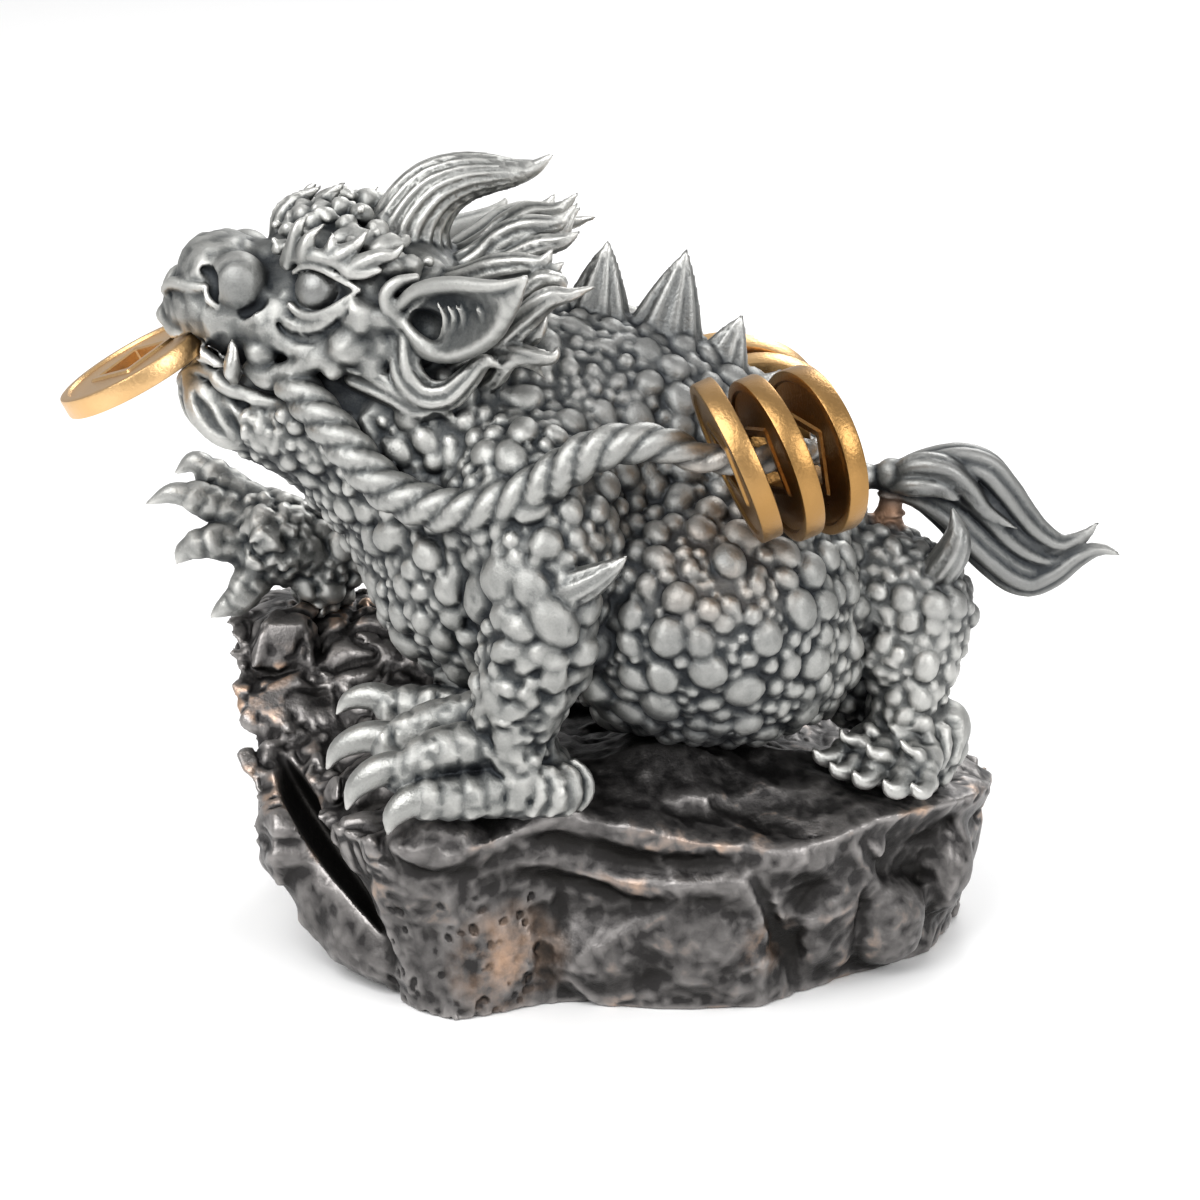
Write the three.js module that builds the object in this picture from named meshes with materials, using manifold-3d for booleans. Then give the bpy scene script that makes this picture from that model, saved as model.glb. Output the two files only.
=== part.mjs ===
// Money toad: a one-piece pewter toad crouching on a cast rock, with seven square-holed coins.
// Millimetres, +Z up, the head looks along -X, and the origin is on the ground under the rock.
import * as THREE from 'three';
import { mergeVertices } from 'three/addons/utils/BufferGeometryUtils.js';
import Module from 'manifold-3d';

const wasm = await Module();
wasm.setup();

// Driving sizes
const gap = 0.3; // air between neighbours
const coin = { radius: 14.7, thickness: 3.8, hole: 9.0 };
const rope = { radius: 3.5, thin: 2.5, turns: 7 }; // thin where it runs through the coins
const tipRadius = 0.35; // of claws, spikes and locks
const near = -1; // y sign of the side with the lowered foreleg
const far = 1;

// Solids

// Turns a three.js geometry into a manifold solid.
function solid(geometry) {
  geometry.deleteAttribute('normal');
  geometry.deleteAttribute('uv');
  const merged = mergeVertices(geometry, 1e-4);
  return new wasm.Manifold(new wasm.Mesh({
    numProp: 3,
    vertProperties: merged.attributes.position.array,
    triVerts: Uint32Array.from(merged.index.array),
  }));
}

// Joins a list of solids in pairs, so that each join stays small.
function join(solids) {
  let row = solids;
  while (row.length > 1) {
    const next = [];
    for (let i = 0; i < row.length; i += 2) {
      next.push(i + 1 < row.length ? row[i].add(row[i + 1]) : row[i]);
    }
    row = next;
  }
  return row[0];
}

const vector = ([x, y, z]) => new THREE.Vector3(x, y, z);

// Puts points written for y > 0 on one side of the toad.
const onSide = (side, points) => points.map(([x, y, z]) => [x, side * y, z]);

// An ellipsoid, turned about its own centre.
function blob(centre, radii, { turn = [0, 0, 0], sides = 10, rows = 6 } = {}) {
  const geometry = new THREE.SphereGeometry(1, sides, rows);
  geometry.rotateX(Math.PI / 2);
  geometry.scale(...radii);
  const angles = turn.map(THREE.MathUtils.degToRad);
  geometry.applyMatrix4(new THREE.Matrix4().makeRotationFromEuler(new THREE.Euler(...angles)));
  geometry.translate(...centre);
  return solid(geometry);
}

// A round bar bent along a smooth curve, with one radius at each point. Its section is wide along `across`,
// thinner by `squash` the other way, fluted by `flutes` lobes, and turned by `twist` lobes along its length.
function limb(points, radii, look = {}) {
  const { sides = 8, rings = 6, across = [0, 1, 0], squash = 1, flutes = 0, depth = 0, twist = 0 } = look;
  const curve = new THREE.CatmullRomCurve3(points.map(vector), false, 'centripetal');
  const geometry = new THREE.CylinderGeometry(1, 1, 1, sides, rings);
  const place = geometry.attributes.position;
  const last = radii.length - 1;
  for (let i = 0; i < place.count; i += 1) {
    const along = place.getY(i) + 0.5;
    const step = Math.min(Math.floor(along * last), last - 1);
    const radius = THREE.MathUtils.lerp(radii[step], radii[step + 1], along * last - step);
    const tangent = curve.getTangent(along);
    const wide = vector(across).addScaledVector(tangent, -vector(across).dot(tangent)).normalize();
    const thin = new THREE.Vector3().crossVectors(wide, tangent);
    const angle = Math.atan2(place.getZ(i), place.getX(i));
    const swell = radius * (1 + depth * Math.cos(flutes * angle + twist * along * 2 * Math.PI));
    const centre = curve.getPoint(along);
    centre.addScaledVector(wide, place.getX(i) * swell);
    centre.addScaledVector(thin, place.getZ(i) * swell * squash);
    place.setXYZ(i, centre.x, centre.y, centre.z);
  }
  return solid(geometry);
}

// A thin tapered lock of hair, which ends in a point.
function lock(points, thickness, look = {}) {
  const last = points.length - 1;
  const radii = points.map((_, i) => Math.max(tipRadius, thickness * (1 - (i / last) ** 2)));
  return limb(points, radii, { sides: 3, rings: 2, squash: 0.8, ...look });
}

// A fluted cone.
function spike(base, tip, radius, look = {}) {
  return limb([base, tip], [radius, tipRadius], { sides: 8, rings: 1, flutes: 4, depth: 0.12, ...look });
}

// Rock

const rockCentre = [4, 4];

// Corners round the rock from the near left, anticlockwise: the foot on the ground and the rim above it.
const rockCorners = [
  { foot: [-35, -34], rim: [-42, -36, 33] },
  { foot: [-25, -40], rim: [-28, -42, 31] },
  { foot: [-7, -31], rim: [-8, -38, 37] },
  { foot: [7, -35], rim: [10, -38, 34] },
  { foot: [28, -35], rim: [32, -36, 30] },
  { foot: [42, -21], rim: [50, -27, 33] },
  { foot: [59, -8], rim: [66, -11, 31] },
  { foot: [67, 9], rim: [73, 9, 28] },
  { foot: [67, 28], rim: [69, 28, 26] },
  { foot: [48, 43], rim: [50, 45, 31] },
  { foot: [12, 47], rim: [14, 49, 34] },
  { foot: [-28, 46], rim: [-28, 48, 46] },
  { foot: [-58, 43], rim: [-60, 44, 54] },
  { foot: [-54, 24], rim: [-69, 26, 54] },
  { foot: [-48, 8], rim: [-68, 10, 42] },
  { foot: [-44, -12], rim: [-62, -6, 29] },
  { foot: [-39, -25], rim: [-50, -22, 31] },
];

// Heights of the rock's top inside its rim.
const rockTops = [
  [-28, -33, 38], [-12, -26, 44], [12, -22, 46], [34, -16, 42], [52, -10, 35], [62, 4, 36],
  [-44, -8, 36], [-30, 2, 42], [-46, 28, 58], [-26, 30, 52], [8, 26, 42], [44, 24, 36],
];

// Height of the rock's top at a place, from the named heights near it.
function rockHeight(x, y) {
  let sum = 0;
  let weights = 0;
  for (const [px, py, pz] of [...rockTops, ...rockCorners.map(({ rim }) => rim)]) {
    const weight = 1 / ((x - px) ** 2 + (y - py) ** 2 + 4) ** 1.6;
    sum += weight * pz;
    weights += weight;
  }
  return sum / weights;
}

// A closed ring through the rock's corners, read by a share of one turn.
function ring(corners) {
  const curve = new THREE.CatmullRomCurve3(corners.map(vector), true, 'centripetal');
  return (share) => curve.getPoint(share);
}

// The rock, grown all round by `grow`. Sphere rows become the top, the wall and the underside.
function rockSolid(grow) {
  const [cx, cy] = rockCentre;
  const foot = ring(rockCorners.map((corner) => [...corner.foot, 0]));
  const rim = ring(rockCorners.map((corner) => corner.rim));
  const topRows = 5;
  const wallRows = 4;
  const rows = topRows + wallRows + 1;
  const columns = 2 * rockCorners.length;
  const geometry = new THREE.SphereGeometry(1, columns, rows);
  const place = geometry.attributes.position;
  const uv = geometry.attributes.uv;
  for (let i = 0; i < place.count; i += 1) {
    const row = Math.round((1 - uv.getY(i)) * rows);
    const share = (Math.round(uv.getX(i) * columns) % columns) / columns;
    const edge = rim(share);
    const low = foot(share);
    let spot;
    if (row <= topRows) {
      const reach = row / topRows;
      spot = new THREE.Vector3(cx + (edge.x - cx) * reach, cy + (edge.y - cy) * reach, 0);
      spot.z = THREE.MathUtils.lerp(rockHeight(spot.x, spot.y), edge.z, reach ** 6) + grow;
    } else if (row < rows) {
      const drop = (row - topRows) / wallRows;
      spot = edge.clone().lerp(low, drop);
      const crags = 1 + 0.022 * Math.sin(9 * Math.PI * share + 5 * drop) - 0.03 * Math.sin(Math.PI * drop);
      spot.x = cx + (spot.x - cx) * crags;
      spot.y = cy + (spot.y - cy) * crags;
    } else {
      spot = new THREE.Vector3(cx, cy, 0);
    }
    const reach = Math.hypot(spot.x - cx, spot.y - cy);
    if (reach > 0 && row >= topRows) {
      spot.x += (grow * (spot.x - cx)) / reach;
      spot.y += (grow * (spot.y - cy)) / reach;
    }
    place.setXYZ(i, spot.x, spot.y, spot.z);
  }
  return solid(geometry);
}

// Boulders on the rock: under the raised paw, behind the near paw, and low at the near left corner.
function rockLumps(grow) {
  const swell = (radii) => radii.map((radius) => radius + grow);
  return [
    blob([-58, 24, 47], swell([11, 11, 10]), { sides: 6, rows: 4 }),
    blob([-38, -14, 31], swell([13, 11, 10]), { sides: 6, rows: 4 }),
    blob([-55, -9, 22], swell([8, 9, 9]), { sides: 6, rows: 4 }),
  ];
}

// Coins

// Six coins on the rope and one in the mouth: centre, axis and turn of the square hole.
const coins = {
  mouth_coin: { centre: [-81.9, 0, 108.1], axis: [-0.475, 0, 0.88], turn: 45 },
  coin_near_1: { centre: [23, -40, 102.6], axis: [0.906, 0.196, 0.377], turn: 20 },
  coin_near_2: { centre: [29.8, -38, 102.4], axis: [0.899, 0.317, 0.302], turn: 5 },
  coin_near_3: { centre: [36.6, -34.2, 102.7], axis: [0.878, 0.439, 0.193], turn: 30 },
  coin_far_1: { centre: [29.6, 16, 92.8], axis: [0.05, 0.956, 0.288], turn: 10 },
  coin_far_2: { centre: [25.7, 22.2, 95], axis: [0.016, 0.93, 0.36], turn: 35 },
  coin_far_3: { centre: [22.6, 28.8, 93.8], axis: [-0.06, 0.93, 0.36], turn: 20 },
};

// A coin lying flat, grown all round by `grow`, so that its square hole shrinks.
function coinGeometry(grow) {
  const outline = new THREE.Shape();
  outline.absarc(0, 0, coin.radius + grow, 0, 2 * Math.PI, false);
  const half = coin.hole / 2 - grow;
  const corners = [[-half, -half], [-half, half], [half, half], [half, -half]];
  outline.holes.push(new THREE.Path(corners.map(([x, y]) => new THREE.Vector2(x, y))));
  const depth = coin.thickness + 2 * grow;
  const geometry = new THREE.ExtrudeGeometry(outline, { depth, bevelEnabled: false, curveSegments: 11 });
  return geometry.translate(0, 0, -depth / 2);
}

// Turns a coin's flat outline onto its axis and moves it to its centre.
function coinPlace({ centre, axis, turn }) {
  const spin = new THREE.Quaternion().setFromAxisAngle(vector([0, 0, 1]), THREE.MathUtils.degToRad(turn));
  const tip = new THREE.Quaternion().setFromUnitVectors(vector([0, 0, 1]), vector(axis).normalize());
  return new THREE.Matrix4().compose(vector(centre), tip.multiply(spin), vector([1, 1, 1]));
}

// Space that the toad leaves free for a coin.
const coinRoom = (place) => solid(coinGeometry(gap).applyMatrix4(coinPlace(place)));

// Body

const masses = {
  belly: { centre: [17, 0, 70], radii: [31, 45, 27], sides: 16, rows: 8 },
  chest: { centre: [-18, 0, 78], radii: [25, 34, 27], sides: 12, rows: 6 },
  seat: { centre: [21, 0, 58], radii: [28, 37, 19], sides: 12, rows: 6 },
  shoulderNear: { centre: [-10, -27, 88], radii: [15, 13, 15], sides: 8, rows: 5 },
  shoulderFar: { centre: [-10, 27, 88], radii: [15, 13, 15], sides: 8, rows: 5 },
};

// Trunk: belly, chest, shoulders, and the back that rises to the neck.
function trunk() {
  const lumps = Object.values(masses).map(({ centre, radii, ...look }) => blob(centre, radii, look));
  const back = limb(
    [[40, 0, 80], [31, 0, 83], [20, 0, 89], [0, 0, 96], [-24, 0, 98]],
    [6, 12, 18.5, 23, 25],
    { sides: 10, rings: 4 },
  );
  const neck = limb(
    [[-10, 0, 88], [-24, 0, 95], [-40, 0, 100], [-53, 0, 103]],
    [29, 27, 20, 13], { sides: 10, rings: 3 },
  );
  return [...lumps, back, neck];
}

// Hollow behind the spine in which the far coins lie.
const hollow = { centre: [27, 26, 96], radii: [21, 17, 20] };
const coinHollow = () => blob(hollow.centre, hollow.radii, { sides: 10, rows: 7 });

// Warts: round grains of two sizes on a spiral over each body mass, on the outside of the trunk only.
function warts() {
  const goldenTurn = Math.PI * (3 - Math.sqrt(5));
  const lowest = 50;
  const ridgeWidth = 20;
  const inside = (spot, { centre, radii }, share = 1.02) => (
    spot.reduce((sum, value, i) => sum + ((value - centre[i]) / radii[i]) ** 2, 0) < share
  );
  const grains = [];
  for (const [name, count] of [['belly', 21], ['shoulderNear', 4], ['shoulderFar', 4]]) {
    const mass = masses[name];
    for (let i = 0; i < count; i += 1) {
      const up = 1 - (2 * (i + 0.5)) / count;
      const flat = Math.sqrt(1 - up * up);
      const turn = i * goldenTurn;
      const unit = [flat * Math.cos(turn), flat * Math.sin(turn), up];
      const spot = unit.map((value, axis) => mass.centre[axis] + value * mass.radii[axis]);
      const hidden = Object.values(masses).some((other) => other !== mass && inside(spot, other));
      const low = spot[2] < lowest;
      const central = Math.abs(spot[1]) < ridgeWidth;
      if (!hidden && !low && !central && !inside(spot, hollow, 1.6)) {
        const size = 3.4 + 0.8 * Math.sin(3.7 * i);
        grains.push(solid(new THREE.IcosahedronGeometry(size, 0).translate(...spot)));
      }
    }
  }
  return grains;
}

// Fluted spines down the back, from the neck to the rump.
function spines() {
  const rows = [
    { foot: [-1.5, 0, 116], tip: [1.2, 0, 130.6], radius: 6.6 },
    { foot: [10, 0, 111.5], tip: [15.1, 0, 129], radius: 7.6 },
    { foot: [19.5, 0, 106], tip: [25, 0, 117.2], radius: 5.8 },
    { foot: [24, 0, 102], tip: [32, 0, 107], radius: 4 },
  ];
  return rows.map(({ foot, tip, radius }) => spike(foot, tip, radius, { squash: 1, across: [0, 1, 0] }));
}

// Legs

// A foreleg from the shoulder to the wrist, with its elbow spike.
function nearForeleg() {
  return [
    limb(
      [[-12, -26, 93], [-9, -35, 80], [-11.5, -37, 66], [-15, -35.5, 54], [-16, -34, 44]],
      [14, 11.5, 9.8, 7.6, 9], {
      sides: 8, rings: 5,
    }),
    spike([-3.5, -41, 79], [4.2, -46, 87.5], 3.6),
    blob([-12, -33, 43], [9, 9, 6.5], { turn: [0, 15, 0] }),
  ];
}

function farForeleg() {
  return [
    limb([[-14, 24, 86], [-30, 30, 76], [-44, 32, 68], [-54, 30, 67], [-62, 28, 70]], [14, 11, 8.5, 7, 7.5], {
      sides: 8, rings: 5,
    }),
    blob([-60, 27, 67.5], [9, 9, 8.5]),
    limb([[-46, 30, 68], [-51, 28, 61], [-52, 28, 56]], [6, 6, 5]),
  ];
}

// A toe: knuckled flesh to the nail, then a curved claw to the last point.
function toe(points, thickness) {
  const share = [1.25, 1.2, 1.1, 1.25, 0.9, 0.6, 0.12];
  const steps = points.length - 1;
  const radii = points.map((_, i) => thickness * share[Math.round((i / steps) * (share.length - 1))]);
  return limb(points, radii, { sides: 5, rings: steps - 1 });
}

function nearToes() {
  return [
    toe(
      [
        [-9.6, -35, 42.3], [-17, -39, 42.4], [-24, -42, 42.4],
        [-29.6, -44, 43.6], [-33.8, -45, 42.6], [-36.3, -46, 38.5],
      ],
      3.4,
    ),
    toe(
      [
        [-16, -35, 47], [-23, -37, 49.6], [-29, -39, 49.5],
        [-35, -41, 47], [-40.5, -41.5, 45.4], [-43.7, -42, 40.3],
      ],
      3.7,
    ),
    toe(
      [
        [-17, -30, 49], [-25, -29, 51.6], [-31, -29, 50.6],
        [-38, -29, 48.1], [-43.5, -29, 47.4], [-47.8, -29, 42.9],
      ],
      3.5,
    ),
    toe(
      [
        [-17, -25, 49], [-24.7, -19, 51], [-31, -17, 50.6],
        [-37, -16, 50.2], [-43.2, -15, 50.8], [-46.8, -15, 48.4],
      ],
      3.2,
    ),
    toe([[-17, -22, 50], [-21.5, -20, 52.7], [-26, -17, 55.3], [-29, -15, 54.4]], 2.6),
  ];
}

function farToes() {
  return [
    toe(
      [
        [-58, 28, 70], [-64, 31, 73.3], [-69, 33, 75.6],
        [-73, 33.5, 79.4], [-76.5, 34, 80.6], [-79, 34, 78.6],
      ],
      3.2,
    ),
    toe(
      [[-58, 27, 68], [-65, 28, 71.3], [-70, 29, 73.4], [-75, 29, 75.6], [-80, 29, 76], [-84, 29, 74.2]],
      3.2,
    ),
    toe(
      [
        [-58, 27, 66], [-65, 26, 66.7], [-70, 24.5, 68.2],
        [-74, 24, 67.8], [-76.6, 24, 66.4], [-78.3, 24, 64.2],
      ],
      3.2,
    ),
    toe([[-58, 26, 66], [-63.5, 24, 61.9], [-66, 22, 58.4], [-69, 21, 56.8], [-72, 21, 54.7]], 3.2),
    toe([[-54, 25, 66], [-60, 22, 67.5], [-61.5, 20.5, 71], [-64, 20, 69.5]], 3),
  ];
}

// The one hind leg, under the tail: thigh, shank, foot with three toes, and a spike at the hock.
function hindLeg() {
  return [
    limb(
      [[40, 0, 71], [49, -4, 69.5], [56.5, -6.5, 66], [56, -8, 58], [55, -9.5, 49], [54.5, -10, 38]],
      [10, 11.6, 10.4, 9.2, 7.6, 9], {
      sides: 8, rings: 5,
    }),
    blob([53, -10.4, 59], [8, 7, 6.6], { sides: 6, rows: 4 }),
    blob([56, -6, 38.5], [10, 9, 5.5]),
    toe([[54, -10, 40], [48, -13, 42.5], [43, -17, 43.4], [39, -20.5, 43.5]], 3.6),
    toe([[54, -12, 40], [50, -16, 40.5], [47, -21, 40.8], [44, -25, 39.6]], 3.6),
    toe([[55, -12, 38], [53.6, -17, 37.8], [51.4, -22, 38.2], [50, -26, 36.8]], 3.4),
    spike([60.6, -11.5, 74.5], [62, -12, 85.7], 3.2),
  ];
}

// Head

function skull() {
  const small = { sides: 6, rows: 4 };
  const pair = (centre, radii) => [near, far].map((side) => blob(...onSide(side, [centre]), radii, small));
  return [
    blob([-38, 0, 121], [17, 23, 14], { sides: 12, rows: 6 }),
    blob([-47, 0, 131], [10.5, 17, 8], { sides: 10, rows: 5 }),
    limb(
      [[-40, 0, 118], [-56, 0, 119], [-68, 0, 120], [-75.5, 0, 119]],
      [17, 15, 12, 5], { sides: 10, rings: 3, squash: 0.72 },
    ),
    blob([-65, 0, 126], [8.5, 12.5, 7.5]),
    limb(
      [[-36, 0, 99], [-52, 0, 99.5], [-63, 0, 102], [-71.5, 0, 106]],
      [20, 17, 11, 5], { sides: 10, rings: 3, squash: 0.6 },
    ),
    ...pair([-64, 9.5, 125.8], [4.6, 4.6, 4.6]),
    ...pair([-48.5, 14.5, 126.3], [5.4, 4.2, 4.6]),
    ...pair([-40, 18.5, 116], [9, 7, 7.5]),
    ...pair([-53, 14.5, 114.5], [7.5, 5.5, 5.5]),
  ];
}

// A cupped leaf-shaped ear.
function ear(side) {
  const stem = [[-31, 19, 120], [-24, 28, 123], [-18, 33.5, 127], [-12.5, 38, 131.5]];
  const cup = stem.map(([x, y, z]) => [x - 1.6, y + 3, z]);
  const look = { across: [0, 0, 1], sides: 6, rings: 3 };
  const leaf = limb(onSide(side, stem), [5, 8, 6, 0.4], { ...look, squash: 0.42 });
  return leaf.subtract(limb(onSide(side, cup), [2, 5.6, 3.6, 0.3], { ...look, squash: 0.5 }));
}

// The fluted horn, which curls back from the crown.
function horn() {
  return limb(
    [
      [-33, 0, 128], [-31.5, 0, 134], [-28.4, 0, 139.2], [-23.6, 0, 142.2],
      [-18, 0, 143.1], [-13, 0, 143.6], [-8.9, 0, 146.1],
    ],
    [7.6, 6.9, 6, 4.9, 3.8, 2.4, 0.4],
    { sides: 10, rings: 7, flutes: 5, depth: 0.1 },
  );
}

// Flame locks of the mane, the brow and the beard. Paired ones grow on both sides of the head.
const pairedLocks = [
  { points: [[-26, 6, 123], [-18.3, 6, 128.1], [-10, 8, 131], [-3.1, 8, 134.5]], thickness: 4.6 },
  { points: [[-26, 12, 122], [-19, 14, 126.7], [-13.7, 18, 130.2], [-7.2, 18, 133.7]], thickness: 4.2 },
  { points: [[-28, 15, 119], [-20, 19, 121], [-12.9, 21, 124.8], [-6, 22, 125.9]], thickness: 4 },
  { points: [[-28, 16, 115], [-18, 22, 119], [-10.2, 26.5, 124.4], [-0.8, 26, 128.1]], thickness: 4.2 },
  { points: [[-28, 17, 112], [-17, 23, 117.4], [-10.2, 26, 119.9], [-6.8, 26, 122.5]], thickness: 3.6 },
  { points: [[-34, 20, 114], [-28, 24, 112.8], [-21.3, 28, 115.2], [-17.9, 28, 117.4]], thickness: 3.4 },
  { points: [[-28, 20, 109], [-20.5, 25, 112], [-15.3, 28, 116], [-8.5, 26, 118.1]], thickness: 3.8 },
  { points: [[-42, 18, 110], [-36, 22, 109.4], [-30, 24, 106.2], [-24.9, 25, 104.5]], thickness: 3.4 },
  { points: [[-51, 10, 129], [-50, 13.5, 133], [-44, 11, 136.8]], thickness: 3.4 },
  { points: [[-47, 12, 129], [-45, 14.5, 132.6], [-38.7, 13, 138.6]], thickness: 3.6 },
  { points: [[-42, 14, 126], [-40.5, 16.5, 131], [-34.2, 18, 135.8]], thickness: 3.6 },
  { points: [[-68, 4, 106], [-69, 5, 101], [-63.8, 5, 95.3]], thickness: 3.6 },
];
const middleLocks = [
  { points: [[-26, 4, 124], [-17.6, 4, 128.4], [-9, 1, 132], [-4.4, 0, 136.9]], thickness: 4.4 },
  { points: [[-54, 4, 130], [-53.6, 4, 135.6], [-49.1, 4, 139.8]], thickness: 3.6 },
  { points: [[-48.1, 0, 133], [-48, 0, 137.6], [-44.9, 0, 141.2]], thickness: 3.4 },
  { points: [[-70, 0, 109], [-71.4, 0, 103], [-69, 0, 97], [-64, 0, 94]], thickness: 3.6 },
];

function locks() {
  const paired = [near, far].flatMap((side) => (
    pairedLocks.map(({ points, thickness }) => lock(onSide(side, points), thickness, { across: [0, 0, 1] }))
  ));
  return [...paired, ...middleLocks.map(({ points, thickness }) => lock(points, thickness))];
}

// The tail: a root, a knob on a short peg, three broad ribbons side by side, and two short ones over them.
function tail() {
  const broad = { rings: 6, squash: 1 };
  return [
    limb([[36, 0, 88], [42.3, 0, 91.8], [46.6, 0, 87.4], [50, 0, 88]], [5, 2.8, 2.4, 2.4]),
    blob([51.8, -1, 88.3], [3.2, 3.4, 3.2]),
    limb([[52, -1, 87], [51.8, -1, 82], [51.2, -1, 76]], [2.8, 3, 4]),
    lock(
      [
        [52.2, -0.5, 88], [58.6, -2, 90], [64.1, -2.5, 90.9], [69, -2.5, 88.8], [73, -1.5, 84],
        [76.6, -0.5, 79.2], [82.4, 0, 75.6], [89.1, 0, 79.3],
      ],
      4.6, broad,
    ),
    lock(
      [
        [52.9, -1, 87], [57.8, -2, 87.2], [63.4, -2, 85.8], [68.3, -1.5, 82], [72.9, -1, 76.8],
        [80.7, 0, 72.4], [87, 0, 74],
      ],
      4.4, broad,
    ),
    lock(
      [
        [53.5, -1, 86], [57.9, -2, 84.7], [62.4, -2, 81.2], [66.8, -1.5, 76.4], [71.5, -1, 71.8],
        [77.4, 0, 68.6], [85.7, 0, 72.8], [93.2, 0, 73.4],
      ],
      4.4, broad,
    ),
    lock(
      [[53.1, -3, 88.7], [58.3, -6, 91.4], [63.6, -6.4, 89.2], [68, -5, 84], [74.2, -4, 79.4]],
      3.2, { rings: 3 },
    ),
    lock([[52.6, -4, 87.1], [57.4, -6.6, 88], [63.6, -6, 85.2]], 2.8),
  ];
}

// Rope

// Where the rope lies on each flank, from the corner of the jaws to the top of the shoulder.
const ropeFlank = [
  [-53, 16, 109.5], [-44.8, 24, 102], [-35.2, 29, 93.4], [-22.2, 35, 92], [-12, 38.4, 96.6], [0, 40.2, 104.6],
  [10, 40.4, 105.6], [17, 40.2, 103],
];
// Through the near coins, over the rump and through the far coins.
const ropeBack = [
  [23, -40, 102.6], [29.8, -38, 102.4], [36.6, -34.2, 102.7],
  [41.6, -25, 100.4], [43, -11, 96], [38.6, 4, 93],
  [29.6, 16, 92.8], [25.7, 22.2, 95], [22.6, 28.8, 93.8], [17, 36, 97],
];

// A three-strand rope: thick on the flanks and thin where the coins hang.
function ropes() {
  const strands = { sides: 6, flutes: 3, depth: 0.14, across: [0, 0, 1] };
  const flank = (side) => limb(
    onSide(side, ropeFlank),
    ropeFlank.map((_, i) => (i < ropeFlank.length - 1 ? rope.radius : rope.thin)),
    { ...strands, rings: 15, twist: -side * rope.turns },
  );
  const back = limb(
    [...onSide(near, [ropeFlank.at(-1)]), ...ropeBack],
    Array(ropeBack.length + 1).fill(rope.thin),
    { ...strands, rings: 12, twist: rope.turns },
  );
  return [flank(near), flank(far), back];
}

// Pieces

function toadSolid() {
  const flesh = join([...trunk(), ...warts(), ...skull(), ...hindLeg()]).subtract(coinHollow());
  const limbs = [...nearForeleg(), ...farForeleg(), ...nearToes(), ...farToes()];
  const crests = [horn(), ear(near), ear(far), ...spines(), ...locks(), ...tail(), ...ropes()];
  const whole = join([flesh, ...limbs, ...crests]);
  const rock = join([rockSolid(gap), ...rockLumps(gap)]);
  const rooms = join(Object.values(coins).map(coinRoom));
  return whole.subtract(rock).subtract(rooms);
}

const rockPiece = () => join([rockSolid(0), ...rockLumps(0)]);

// Scene

const pewter = new THREE.MeshStandardMaterial({ color: 0x8c8e8a, roughness: 0.38, metalness: 1 });
const rockBronze = new THREE.MeshStandardMaterial({ color: 0x3a332f, roughness: 0.42, metalness: 0.8 });
const gold = new THREE.MeshStandardMaterial({ color: 0xd9a856, roughness: 0.3, metalness: 1 });

// A named mesh from a manifold solid.
function piece(name, shape, material) {
  const { vertProperties, triVerts } = shape.getMesh();
  const geometry = new THREE.BufferGeometry();
  geometry.setAttribute('position', new THREE.BufferAttribute(vertProperties, 3));
  geometry.setIndex(new THREE.BufferAttribute(triVerts, 1));
  geometry.computeVertexNormals();
  const mesh = new THREE.Mesh(geometry, material);
  mesh.name = name;
  return mesh;
}

const figurine = new THREE.Group();
figurine.add(piece('toad', toadSolid(), pewter));
figurine.add(piece('base_rock', rockPiece(), rockBronze));
for (const [name, place] of Object.entries(coins)) {
  figurine.add(piece(name, solid(coinGeometry(0).applyMatrix4(coinPlace(place))), gold));
}

export default figurine;
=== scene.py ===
"""Money toad figurine: a pewter toad on a cast rock with seven gilt coins."""
import math
import bmesh
import bpy
import numpy as np
import openvdb as vdb
from mathutils import Matrix, Quaternion, Vector


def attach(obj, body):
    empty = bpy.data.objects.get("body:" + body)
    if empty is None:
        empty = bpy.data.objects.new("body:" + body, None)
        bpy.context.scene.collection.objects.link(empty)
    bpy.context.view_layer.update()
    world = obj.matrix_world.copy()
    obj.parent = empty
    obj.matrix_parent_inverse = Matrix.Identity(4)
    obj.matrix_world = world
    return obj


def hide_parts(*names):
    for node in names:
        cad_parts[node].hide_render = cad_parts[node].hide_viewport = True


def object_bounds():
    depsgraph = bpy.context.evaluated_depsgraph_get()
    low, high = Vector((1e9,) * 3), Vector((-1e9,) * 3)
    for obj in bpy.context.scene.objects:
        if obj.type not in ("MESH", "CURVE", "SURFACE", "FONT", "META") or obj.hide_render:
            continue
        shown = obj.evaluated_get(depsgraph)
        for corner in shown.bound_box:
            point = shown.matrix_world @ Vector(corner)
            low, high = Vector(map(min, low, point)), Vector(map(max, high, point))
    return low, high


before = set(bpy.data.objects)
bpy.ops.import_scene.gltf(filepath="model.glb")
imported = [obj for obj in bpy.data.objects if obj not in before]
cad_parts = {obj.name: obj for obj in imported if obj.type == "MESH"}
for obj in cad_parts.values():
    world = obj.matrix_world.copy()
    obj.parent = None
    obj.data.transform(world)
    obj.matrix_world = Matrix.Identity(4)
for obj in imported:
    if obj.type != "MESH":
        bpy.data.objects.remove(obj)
cad_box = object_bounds()

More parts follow.
